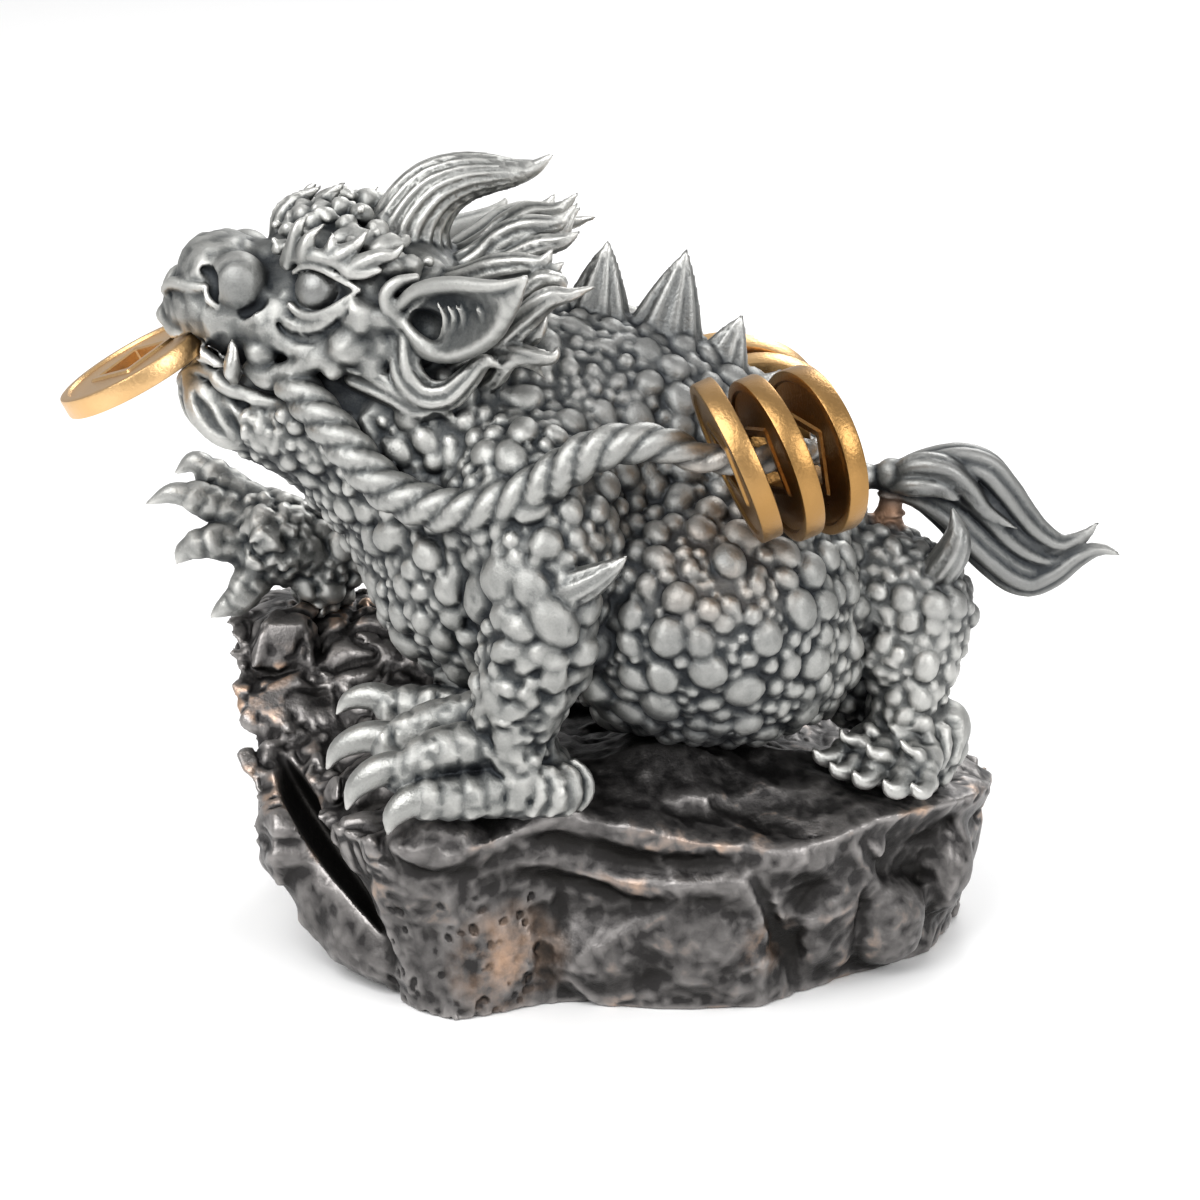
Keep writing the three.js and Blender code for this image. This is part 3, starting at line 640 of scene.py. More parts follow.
FAR_TOES = [
    ([(-58, 28, 70), (-64, 31, 73.3), (-69, 33, 75.6), (-72, 33.5, 78.5)],
     [(-71.4, 33.4, 78), (-75.3, 34, 80.8), (-79, 34, 78.6)], 3.6),
    ([(-58, 27, 68), (-65, 28, 71.3), (-70, 29, 73.4), (-74.5, 29, 75.4)],
     [(-74, 29, 75.1), (-79, 29, 76.2), (-84, 29, 74.2)], 3.5),
    ([(-58, 27, 66), (-65, 26, 66.7), (-70, 24.5, 68.2), (-74, 24, 67.8)],
     [(-73.5, 24, 68), (-76.6, 24, 66.6), (-78.3, 24, 64.2)], 3.4),
    ([(-58, 26, 66), (-62.5, 24.4, 63.4), (-65, 22.6, 60), (-67, 21.7, 57.8)],
     [(-66.6, 21.9, 58.2), (-69.2, 21, 56.7), (-72, 21, 54.7)], 3.3),
    ([(-54, 25, 66), (-58, 23, 67.2), (-60.7, 21.3, 69.6)],
     [(-60.4, 21.5, 69.4), (-62, 20.4, 71), (-64.4, 20, 69.5)], 3.0),
]
HIND_TOES = [
    ([(50, -11, 43), (46.4, -14, 42.6), (43.4, -16.4, 41.8)],
     [(43.8, -16, 42), (41.2, -18.4, 41.4), (39, -20, 42), (37.6, -20.8, 44)], 2.7),
    ([(51, -12, 42), (47, -16, 41.6), (45, -19, 40.6)],
     [(45.2, -18.6, 40.8), (43.4, -21.2, 39.8), (41.6, -22.4, 40.4), (40.6, -22.8, 42.2)], 2.4),
    ([(52, -13, 42.6), (50.4, -17.6, 42), (48.6, -20.6, 40.2)],
     [(48.8, -20.2, 40.4), (47.4, -23, 39), (45.6, -24.6, 39.4), (44.6, -25.2, 41.4)], 2.7),
    ([(55.6, -13, 42), (55.2, -18.6, 41.4), (53.8, -22.4, 39.4)],
     [(54, -22, 39.6), (52.8, -25, 38), (51, -26.6, 38.4), (49.8, -27, 40.4)], 2.8),
    ([(58.4, -13, 42), (58.4, -18.6, 41), (57.8, -22, 38.8)],
     [(57.8, -21.6, 39), (57.2, -24.4, 37.4), (55.8, -26, 37.8), (54.8, -26.4, 39.6)], 2.4),
]


def toes(clay, rows):
    """Flesh pinched into narrow rings with knuckles, then a thick smooth hooked claw."""
    for flesh, claw, thickness in rows:
        radii = [thickness * share for share in (1.25, 1.1, 0.94, 1.02, 0.84)]
        clay.put(curve(flesh, radii, rings=6, ring_depth=0.085, per=12), 0.7)
        radii = [thickness * share for share in (0.7, 0.68, 0.46, 0.1)]
        clay.put(curve(claw, radii, per=7), 0.3, shine=min(1, 0.24 * thickness))


PAWS = [
    ((-38, -48, 39), (-3, -12, 57)),
    ((-79, 18, 54), (-56, 38, 82)),
    ((40, -26, 38), (64, 0, 46)),
]


def paw_rise(points):
    """Knobbly skin over the toes."""
    return 0.34 * lattice_noise(points, 2.4, 61) + 0.24 * lattice_noise(points, 1.3, 62)


def curls(clay):
    """Flame curls round the hind foot's ankle and heel, and the curled folds of the near heel and wrist."""
    ankle = [
        [(60, -16, 39.4), (61.6, -15.4, 42.4), (61.2, -14.4, 45.2), (59.6, -14, 46.2)],
        [(62.6, -13.6, 39.6), (64, -12.4, 42.8), (63.6, -11.4, 45.6), (62, -11.2, 46.6)],
        [(57, -17.4, 41.4), (58.2, -16.4, 44.2), (57.6, -15.4, 46.8), (56, -15, 47.6)],
        [(52.6, -17.4, 42), (53.2, -17, 44.2), (52.4, -16.4, 46), (51.2, -16, 46.6)],
        [(48.8, -15.4, 43), (48.6, -15.8, 44.8), (47.8, -15.6, 46.2), (46.8, -15.2, 46.4)],
        [(46.6, -17.4, 43.6), (44.6, -18.6, 44.6), (43, -19.4, 45.6), (42.6, -19, 47)],
        [(51, -20.4, 42), (49.6, -21.6, 43), (47.8, -21.8, 44), (47.2, -21.4, 45.6)],
        [(56.6, -20.6, 41.4), (56, -21.6, 43), (54.4, -21.8, 44.2), (53.4, -21.2, 45.4)],
    ]
    for points in ankle:
        clay.put(curve(points, [1.6, 1.3, 0.9, 0.35]), 0.5, shine=0.3)
    clay.put(ball((62.6, -8.6, 43.6), (4, 4.6, 5)), 1.5)
    clay.put(ball((-8, -37, 42.4), (5.6, 5.4, 5)), 1.5)
    heel = [
        [(-11.6, -41.6, 39.6), (-10.2, -42.4, 42.6), (-10.4, -41.4, 45.6), (-12.4, -40.4, 47)],
        [(-8.4, -41.6, 39.4), (-7, -41.8, 42.4), (-7.4, -40.8, 45.4), (-9.4, -39.8, 47.4)],
        [(-5.4, -40, 39.2), (-4, -39.6, 42), (-4.4, -38.8, 45), (-6.4, -38.4, 47.4)],
        [(-3.4, -37.6, 39), (-2, -36.8, 41.6), (-2.4, -36, 44.6), (-4.4, -35.8, 47)],
    ]
    for points in heel:
        clay.put(curve(points, [0.8, 1.1, 1, 0.5]), 0.9)


def leg_spikes(clay):
    """The elbow spike and the spike of the hock."""
    rows = [
        [(-7, -42, 79.6, 3.3), (-2.7, -44.4, 82, 3), (1.4, -46, 84.9, 1.8), (4.4, -47, 87.6, 0.3)],
        [(60.4, -11.6, 74.6, 3.2), (62.2, -13.4, 78.4, 2.9), (62.8, -13.6, 82, 1.8),
         (61.9, -12.4, 85.8, 0.3)],
    ]
    for points in rows:
        clay.put(bar(points, across=(0.6, 0, -0.8), flutes=9, depth=0.18), 0.35, shine=0.8)
    fold = [(-6.6, -43.6, 77, 1), (-4.6, -45.4, 79.4, 1.3), (-4.8, -44.6, 82.6, 1.2),
            (-6.4, -42, 84.8, 0.8)]
    clay.put(bar(fold), 0.4)


# Toad: head

def skull(clay):
    clay.put(ball((-38, 0, 121), (16, 21.4, 13.2)), 5)
    clay.put(ball((-47, 0, 131), (9, 14.4, 6.4)), 3)
    muzzle = [(-40, 0, 118, 16), (-56, 0, 119, 14), (-67, 0, 119.6, 9.6), (-73.4, 0, 119.4, 3.2)]
    clay.put(bar(muzzle, squash=0.72), 4)
    jaw = [(-36, 0, 99, 19), (-52, 0, 99.5, 16), (-63, 0, 101.6, 10), (-71, 0, 105, 4.4)]
    clay.put(bar(jaw, squash=0.6), 3)
    clay.put(ball((-66.6, 0, 126.4), (7.6, 9, 6.3)), 2.5)
    clay.put(bar([(-60, 0, 126.6, 4.2), (-52, 0, 127.6, 4.6)]), 2.5)
    for side in SIDES:
        clay.put(ball((-50, side * 14.6, 104.6), (6, 4.4, 4)), 2.5)


def cheeks(clay):
    """Round lumps over the cheek, the band of flesh over the lip and the pouch behind the tusk."""
    lumps = [(-41.1, 20, 122.2, 3.5), (-43.3, 19.8, 117, 3.6), (-36.1, 20, 116.8, 3.1),
             (-37.2, 20.6, 122, 2.2), (-39.2, 20.4, 113.4, 2.5), (-33.4, 20.6, 119.6, 2.3),
             (-45.8, 19, 113, 2.3), (-31.3, 20, 116, 2.6)]
    for side in SIDES:
        for x, y, z, radius in lumps:
            clay.put(ball((x, side * y, z), (radius, 0.8 * radius, 0.94 * radius)), 1.4)
        band = [(-61.4, 10.4, 118.6), (-59, 11.6, 118.4), (-56, 13, 117), (-52.4, 15, 115.8),
                (-47.9, 17.6, 116)]
        clay.put(curve(band, [1.4, 2.2, 2.4, 2.2, 1.6], side), 1.6)
        clay.put(ball((-58.6, side * 12.2, 113.8), (3.1, 2.6, 2.8)), 0.8)


def crown(clay):
    """Knobbly lumps over the crown and the brow."""
    places = [(-47, 8, 137.4, 1.9), (-43.6, 10, 136.4, 2.1), (-41, 6, 137.2, 2.2), (-41, 13.6, 134.6, 2.2),
              (-54.2, 6, 134.2, 1.7), (-55.6, 9, 132, 1.7), (-52, 2.4, 136.6, 1.8), (-38.4, 9.4, 135.2, 2),
              (-37.2, 15, 133.6, 2.3), (-45, 4, 138, 1.9), (-49.6, 8, 136, 1.7), (-44.4, 13, 134.8, 1.8),
              (-37.6, 4, 135.8, 1.9), (-35.4, 12, 132.8, 2), (-35.8, 17.6, 130.6, 2.2), (-51, 11, 134, 1.6),
              (-32.6, 16, 130.4, 2.1), (-33.6, 20, 127, 1.8), (-54, 2.4, 134.6, 1.7),
              (-48.4, 2, 137.6, 1.7)]
    dice = np.random.default_rng(5)
    for x, y, z, radius in places:
        for side in SIDES:
            lean = dice.uniform(-40, 40, 3)
            stretch = dice.uniform(0.75, 1.3)
            clay.put(ball((x, side * y, z), (radius * stretch, radius, radius * 0.8), lean), 0.9)
            for _ in range(4):
                spot = np.array((x, side * y, z)) + dice.normal(0, 0.75 * radius, 3) * (1, 1, 0.6)
                small = radius * dice.uniform(0.3, 0.5)
                clay.put(ball(spot, (small, small, small)), 0.5)


def body_rise(points):
    """Breaks the roundness of the warts a little, and folds the skin of the lower foreleg."""
    x, y, z = points.T
    foreleg = np.clip((78 - z) / 8, 0, 1) * np.clip((-22 - y) / 4, 0, 1) * np.clip((2 - x) / 3, 0, 1)
    foreleg = foreleg * np.clip((x + 28) / 3, 0, 1)
    body = 0.13 * lattice_noise(points, 2.2, 51) + 0.08 * lattice_noise(points, 1.1, 52)
    folds = 0.5 * lattice_noise(points * (1, 1, 0.8), 3.8, 53) + 0.25 * lattice_noise(points, 1.9, 54)
    return body + foreleg * folds


# lip, pleats over it, jowl, slit, lower lip, tusk, corner crease, the chin's leaves, its flap and creases
MOUTH = [
    (PUT, 0.9, [1.2, 1.2, 1.3, 1.3, 1.1, 0.9], [(-77, 0, 118), (-76.2, 1.5, 116.7), (-74, 3.5, 115.3),
     (-71, 6, 113.3), (-68.2, 8, 111.6), (-66.1, 9, 110.4)]),
    (PUT, 0.4, [0.5, 0.9, 1, 0.9, 0.4], [(-76, 2.5, 121.8), (-74.9, 3.5, 120.7), (-73.5, 5, 119.2),
     (-70.8, 6.5, 117.7), (-68.9, 7.5, 115.6)]),
    (PUT, 0.4, [0.5, 0.9, 1, 0.9, 0.4], [(-71.7, 6.5, 123.9), (-71.1, 7.5, 122), (-69.8, 8, 120),
     (-68.5, 8.5, 118), (-68.6, 8.5, 115)]),
    (PUT, 0.4, [0.5, 0.9, 1, 0.9, 0.4], [(-74.4, 4, 122.8), (-72.9, 5.4, 121.2), (-71.4, 6.6, 119),
     (-70.4, 7, 116.8)]),
    (PUT, 1.2, [1.5, 2.2, 2.5, 2.4, 1.9, 1.2], [(-61, 11.4, 111), (-58.8, 12.8, 110),
     (-55.5, 14.4, 110.4), (-51.9, 15.8, 112), (-48.7, 17.8, 114.2), (-45.8, 19.6, 116)]),
    (TAKE, 0.5, [0.9, 0.8, 0.7, 0.7, 0.6, 0.3], [(-68, 7.6, 110.4), (-66, 9.5, 109.8),
     (-63.5, 10.7, 109.1), (-61.7, 11.7, 108.6), (-60.1, 12.7, 107.5), (-56.6, 14, 106.9),
     (-52.6, 16, 108), (-48.9, 18, 110.1), (-45.2, 20, 112.5)]),
    (PUT, 0.5, [0.7, 1.2, 1.4, 1.4, 1.3, 0.7], [(-73.9, 2.5, 106.1), (-72.2, 4, 108.1), (-69.7, 6, 109.2),
     (-67.6, 8, 108.9), (-65.6, 9.8, 107.4), (-62.3, 11.4, 106.5), (-57.5, 13, 105.2), (-53, 15, 105.6),
     (-49, 17, 107.4)]),
    (PUT, 0.15, [1.1, 1.7, 1.5, 0.3], [(-63.7, 12, 109.4), (-63.9, 12.8, 111), (-64, 13, 113),
     (-63.8, 12.6, 116.4)], dict(shine=1.0)),
    (TAKE, 0.4, [0.3, 0.45, 0.3], [(-51.7, 16.9, 113.1), (-49.7, 18, 113), (-47.4, 19.2, 113.6),
     (-45, 20.4, 113.6)]),
    (PUT, 0.4, [0.8, 1.5, 1.5, 0.5], [(-72.4, 4, 106.1), (-71.8, 5.5, 103.2), (-70.4, 6, 100.1),
     (-66.6, 6.4, 97.3)], dict(across=(1, 0, 1), squash=0.6)),
    (PUT, 0.4, [0.8, 1.5, 1.5, 0.5], [(-69.3, 6.5, 107.5), (-68.4, 7.6, 105.1), (-66.7, 8, 102.1),
     (-63.3, 8, 98.8)], dict(across=(1, 0, 1), squash=0.6)),
    (PUT, 0.4, [0.8, 1.5, 1.5, 0.5], [(-66.2, 8.8, 106.3), (-65.1, 9.8, 104.3), (-63.4, 10, 102.2),
     (-60.5, 10, 100)], dict(across=(1, 0, 1), squash=0.6)),
    (PUT, 0.4, [0.8, 3.2, 3.7, 2.6, 0.3], [(-72.4, 5.4, 108), (-70, 8, 104.6), (-67.6, 9.6, 101.4),
     (-65, 10.6, 98.6), (-61.4, 11, 96)], dict(across=(1, 0, 0.9), squash=0.45)),
    (TAKE, 0.3, [0.5, 1.3, 1.3, 0.4], [(-71.4, 8.6, 106), (-69.4, 10.8, 103), (-67.4, 12, 100.4),
     (-64.4, 12.4, 97.8)]),
    (TAKE, 0.3, [0.5, 1.3, 1.3, 0.4], [(-68.6, 9.8, 106.6), (-66.4, 11.6, 104), (-64.6, 12.2, 101.4),
     (-62.6, 12.4, 98.6)]),
]


def mouth(clay):
    """The open mouth round the coin, with its lips, jowl, tusks and chin."""
    clay.take(ball((-69.5, 0, 111.6), (9, 9.4, 2.4), (0, 28, 0)), 1)
    for side in SIDES:
        curves(clay, MOUTH, side)


# dark comma, flap over the lip and the tongue of skin between them
NOSE = [
    (TAKE, 0.4, [0.6, 1.5, 1.8, 1.1, 0.5], [(-69, 7.4, 127.6), (-67.8, 9, 127.2), (-67.2, 10.4, 125.4),
     (-67.4, 10, 123), (-66.4, 11, 121.8)]),
    (PUT, 0.6, [1, 1.2, 1.1, 0.6], [(-76.2, 1.6, 122.6), (-74.8, 4, 124.4), (-71.6, 7, 124.5),
     (-68.4, 9.6, 125)]),
    (PUT, 0.3, [0.4, 0.7, 0.5], [(-68.5, 9.6, 124.6), (-68, 10.4, 123), (-66.4, 11, 121.8)]),
]


def nose(clay):
    """Round nostrils with a thin groove about them, and the folds in front."""
    for side in SIDES:
        clay.put(ball((-62.9, side * 8.2, 125.7), (5, 4.6, 5.4)), 1.2)
        clay.put(ball((-62.5, side * 10, 125.9), (4.2, 3.7, 4.6)), 1)
        ring = [(-62.6 + 4.7 * math.cos(a), 12.1 + 0.5 * math.cos(a), 125.9 + 5.1 * math.sin(a))
                for a in np.radians(range(190, -81, -30))]
        clay.take(curve(ring, [1], side), 0.7)
        curves(clay, NOSE, side)


# hollow beside the nose and the almond opening
EYE_OPENING = [
    (TAKE, 1, [1.2, 2, 1.2], [(-53.6, 14.6, 127.2), (-53.4, 14.8, 125.2), (-53, 15.4, 123.2)]),
    (TAKE, 0.4, [3.2, 3.7, 3, 1.2, 0.3], [(-51, 17, 125.6), (-48.6, 17.8, 125.9), (-46, 18.8, 126.6),
     (-43.4, 20, 127.3), (-42, 20.8, 127.5)]),
]
# upper lid, fold above it, lower lid, groove and bag below it
EYE_LIDS = [
    (PUT, 0.25, [0.5, 0.7, 0.75, 0.7, 0.5], [(-52.9, 13.4, 128.6), (-51, 15, 130), (-49, 16.2, 130.3),
     (-46.6, 17.6, 129.7), (-44, 19, 128.5), (-41.2, 20.6, 127.3)]),
    (PUT, 0.4, [0.8, 1.2, 1.3, 1, 0.5], [(-54, 11.4, 130), (-51.4, 14.2, 131.6), (-48.5, 16.2, 132.2),
     (-45.3, 18, 131.4), (-42.6, 19.8, 129.6)]),
    (PUT, 0.25, [0.4, 0.75, 0.85, 0.85, 0.6], [(-41.4, 20.6, 127.2), (-44.1, 19.6, 124.9),
     (-46.9, 18.6, 122.9), (-49.6, 17.2, 121.8), (-52.1, 15.2, 121.9), (-53.6, 14, 123)]),
    (TAKE, 0.5, [0.3, 0.5, 0.55, 0.5, 0.3], [(-56, 12.4, 121.6), (-55.7, 13.8, 119.9),
     (-54.5, 15.4, 118.4), (-51.8, 17, 117.3), (-48.6, 18.8, 117.9), (-45.6, 20.2, 120.3),
     (-43.2, 21.4, 123.8)]),
    (PUT, 0.9, [0.5, 1, 1.2, 1.1, 0.8, 0.4], [(-55, 13.6, 120.8), (-53.4, 15, 119.9),
     (-51.1, 16.2, 119.5), (-48.4, 17.8, 120.2), (-46.1, 19.2, 121.9),
     (-44, 20.4, 124)], dict(rings=9, ring_depth=0.07)),
]


def eyes(clay):
    """Glossy eyeballs in almond openings between thin lids, with a fold above and a bag below."""
    for side in SIDES:
        curves(clay, EYE_OPENING, side)
        clay.put(ball((-48.5, side * 13.4, 125.8), (4.2, 4.1, 4.1)), 0.1, shine=1.0)
        curves(clay, EYE_LIDS, side)


# roll from the eye's outer corner to the ear, and the curl in front of the ear
BROW_ROLLS = [
    (PUT, 0.5, [0.6, 1, 1, 0.5], [(-44.6, 17.4, 131.4), (-43.2, 19.4, 130.2), (-40.7, 20.4, 130),
     (-37.6, 21, 130.8)]),
    (PUT, 0.5, [0.8, 1.3, 1.3, 1.2, 0.7], [(-31.5, 21, 129.6), (-34.7, 21.8, 128.8), (-36.4, 22, 127.1),
     (-36.4, 22, 124.8), (-34.6, 22, 122.8), (-33.4, 22.4, 120)]),
]


def brows(clay):
    """Wavy rolls of skin between the eye and the ear."""
    for side in SIDES:
        curves(clay, BROW_ROLLS, side)
        clay.take(ball((-32.6, side * 23.4, 125.8), (1.6, 2.6, 1.9)), 0.5)


def face_rise(points):
    """Small uneven swells over the face, as modelled in wax."""
    x, _, z = points.T
    face = np.clip((-29 - 0.5 * (118 - z) - x) / 4, 0, 1) * np.clip((z - 100) / 6, 0, 1)
    return face * (0.45 * lattice_noise(points, 3.6, 41) + 0.22 * lattice_noise(points, 1.7, 42))


def ears(clay):
    """Cupped leaf-shaped ears with a rolled rim and thin ribs, the far one smaller."""
    root = (-32, 20, 121)
    for side, share in ((NEAR, 1.0), (FAR, 0.76)):
        def drawn(points, radii, **section):
            points = [tuple(r + share * (p - r) for p, r in zip(point, root)) for point in points]
            return curve(points, [share * radius for radius in radii], side, **section)

        stem = [(-32, 20, 121), (-26, 26.4, 123.4), (-19.4, 31.6, 126.2), (-12.6, 38, 132.6)]
        clay.put(drawn(stem, [5, 7.4, 5.6, 0.4], across=(0.2, 0, 1), squash=0.5), 1.2)
        cup = [(x - 0.9, y + 3.4, z) for x, y, z in stem]
        clay.take(drawn(cup, [1.6, 5.4, 3.8, 0.3], across=(0.2, 0, 1), squash=0.5), 0.5)
        clay.take(drawn([(-30.2, 24, 121.8), (-29, 26, 122)], [2.9, 2.9]), 0.8)
        top = [(-34.5, 22, 124.6), (-31.6, 24.4, 127.8), (-28, 27, 129.6), (-24, 30, 130.6), (-20, 33, 131),
               (-16.4, 35.6, 131.8), (-12.5, 38, 133.6)]
        clay.put(drawn(top, [1.1, 1.5, 1.4, 1.2, 0.5]), 0.6)
        low = [(-33.6, 22.6, 122), (-31, 24.4, 119.4), (-27.6, 26.4, 118.2), (-24.2, 28.2, 118.6),
               (-20.6, 30.4, 120.6), (-17, 33, 124), (-14.2, 36, 128.4), (-12.5, 38, 133.6)]
        clay.put(drawn(low, [0.9, 1.3, 1.3, 1.1, 0.5]), 0.6)
        for shift, radius in ((-1.2, 0.5), (0.4, 0.5), (2, 0.45), (5.6, 0.6)):
            rib = [(-26.6 + shift, 26.2 + 0.72 * shift, 119.6 + 0.5 * shift),
                   (-25.4 + shift, 27.2 + 0.72 * shift, 122 + 0.2 * shift),
                   (-25.2 + shift, 28 + 0.72 * shift, 124.4 + 0.2 * shift),
                   (-26.4 + shift, 28.4 + 0.72 * shift, 126.8)]
            clay.put(drawn(rib, [0.5 * radius, radius, radius, 0.5 * radius]), 0.8)


def horn(clay):
    """The fluted horn, thick at its root and turned back to a point."""
    clay.put(bar([
        (-33.8, 0, 127, 7.6), (-33, 0, 134, 6.5), (-29.2, 0, 139.6, 5.5), (-24.4, 0, 142.2, 4.4),
        (-19.8, 0, 143, 3.5), (-15.1, 0, 143.2, 2.4), (-11.4, 0, 144.2, 1.4), (-8.6, 0, 146.2, 0.5),
    ], flutes=17, depth=0.17, twist=0.12, per=8), 0.6, shine=0.8)


PAIRED_LOCKS = [
    ([(-27, 3, 125), (-20, 3, 129), (-16.5, 4, 132.4), (-12.5, 5, 134.6), (-7.5, 5, 135.2),
      (-4, 4, 138.5)], 2.9),
    ([(-16, 6, 129), (-10.5, 8, 132), (-6.5, 9, 133), (-3.5, 9, 134.8)], 2),
    ([(-28, 10, 125), (-22, 15, 128), (-18, 18, 130.4), (-13.5, 20, 131.6), (-10, 21, 132),
      (-8, 21, 134.6)], 2.6),
    ([(-26, 12, 122), (-18, 17, 127), (-12, 20, 130), (-8.5, 21, 130.6), (-6, 21, 132.4)], 2),
    ([(-24, 15, 120), (-17, 20, 125), (-12.5, 22, 127.5), (-9.5, 23, 129.8), (-6.6, 23, 129.4),
      (-6, 23, 127.3)], 2),
    ([(-26, 16, 115), (-20.5, 21, 117), (-16.5, 24, 119.5), (-12.5, 26.4, 124), (-8.5, 27.4, 127.6),
      (-5, 27, 128), (-1, 26, 129.2)], 2.7),
    ([(-24, 17, 114), (-19, 20, 116), (-14.5, 23, 118), (-10.5, 25, 121), (-9, 25, 124)], 2),
    ([(-27, 17, 112), (-21, 22, 116.4), (-15, 26, 117.8), (-11, 27, 117.2), (-8, 27, 117),
      (-7, 27, 119)], 2),
    ([(-33.5, 21, 118), (-33, 22.6, 112.6), (-30, 24, 109.6), (-26, 25.4, 110), (-22.4, 26.4, 113.4),
      (-19.6, 27, 116.4), (-17, 27, 115.4)], 2.9),
    ([(-22, 19, 109), (-17.5, 24, 113), (-16, 26, 115.5), (-14.5, 27, 116.8), (-11.5, 27, 115.8),
      (-9.5, 26, 113)], 1.8),
    ([(-42, 18, 111), (-36, 22, 109.4), (-31, 24, 107), (-27.4, 25, 107.8), (-24.6, 25, 104.4)], 2.2),
    ([(-44, 19, 113.8), (-38.7, 21, 112.4), (-34.4, 23, 109.6), (-29.2, 24, 107)], 1.6),
    ([(-68, 4, 107), (-69.4, 5, 103), (-67.6, 5.4, 98.4), (-63.6, 5, 95)], 2.4),
    ([(-66, 6, 107), (-67, 7, 104.6), (-65.4, 7.4, 100.6), (-62, 7, 98)], 2),
]
MIDDLE_LOCKS = [
    ([(-26, 0, 124), (-19, 0, 128), (-12, 0, 131), (-7, 0, 132.6), (-4.4, 0, 136)], 2.6),
    ([(-56, 4, 130), (-55.4, 4, 134.7), (-52.7, 4, 137.4), (-49, 4, 139.8)], 2.2),
    ([(-48.4, 0, 134), (-48, 0, 138), (-44.6, 0, 141.4)], 2),
    ([(-70, 0, 109), (-71.6, 0, 105), (-71.4, 0, 100.6), (-68.6, 0, 96.8), (-63.8, 0, 94.6)], 2.8),
]


BROW_LOCKS = [
    ([(-53.8, 11.6, 130), (-52.7, 13, 133.3), (-51.8, 13.4, 136.9), (-50.2, 12.6, 138.7)], 1.6),
    ([(-51, 14, 131.5), (-50.5, 15.2, 133.6), (-49.8, 15.4, 135.4), (-47.2, 14.4, 137.5)], 1.6),
    ([(-47.1, 15.6, 131.5), (-46.1, 16.8, 133.7), (-45.8, 16.8, 136.5)], 1.4),
    ([(-46.2, 16, 131.6), (-44.2, 17.4, 132.7), (-42, 17.4, 134.1), (-39.6, 16.7, 137)], 1.9),
    ([(-42.8, 18.6, 130.6), (-40.2, 19.4, 131.8), (-37.6, 20, 133), (-35, 20.2, 133.4),
      (-33.3, 20, 135.4)], 1.7),
]


def locks(clay):
    """Flame locks of the mane, the brow and the beard."""
    for side in SIDES:
        for points, radius in BROW_LOCKS:
            radii = [radius * share for share in (1, 1, 0.8, 0.5, 0.12)]
            lock = curve(points, radii, side, flutes=4, depth=0.16, twist=0.3)
            clay.put(lock, 0.5, shine=0.4)
    for side, rows in ((NEAR, PAIRED_LOCKS), (FAR, PAIRED_LOCKS + MIDDLE_LOCKS)):
        for points, radius in rows:
            radii = [radius * share for share in (1, 1, 0.85, 0.6, 0.12)]
            lock = curve(points, radii, side, across=(0.3, 0, 1), squash=0.8, flutes=6, depth=0.3)
            clay.put(lock, 0.5, shine=0.4)


# Toad: back, tail and rope

def spines(clay):
    """Four fluted thorns down the back, each from its base to its tip."""
    rows = [
        ((-1.5, 0, 113), (1.4, 0, 131), 7),
        ((9.8, 0, 108), (15.2, 0, 129.4), 8),
        ((19, 0, 103), (25, 0, 117.6), 6.4),
        ((23.5, 0, 100), (32, 0, 107.6), 4),
    ]
    for base, tip, radius in rows:
        points = [[b + (t - b) * share for b, t in zip(base, tip)] for share in (0, 0.35, 0.7, 1)]
        radii = [radius, radius * 0.74, radius * 0.4, 0.25]
        clay.put(curve(points, radii, flutes=9, depth=0.16, squash=0.72, across=(1, 0, 0)), 0.8, shine=0.7)


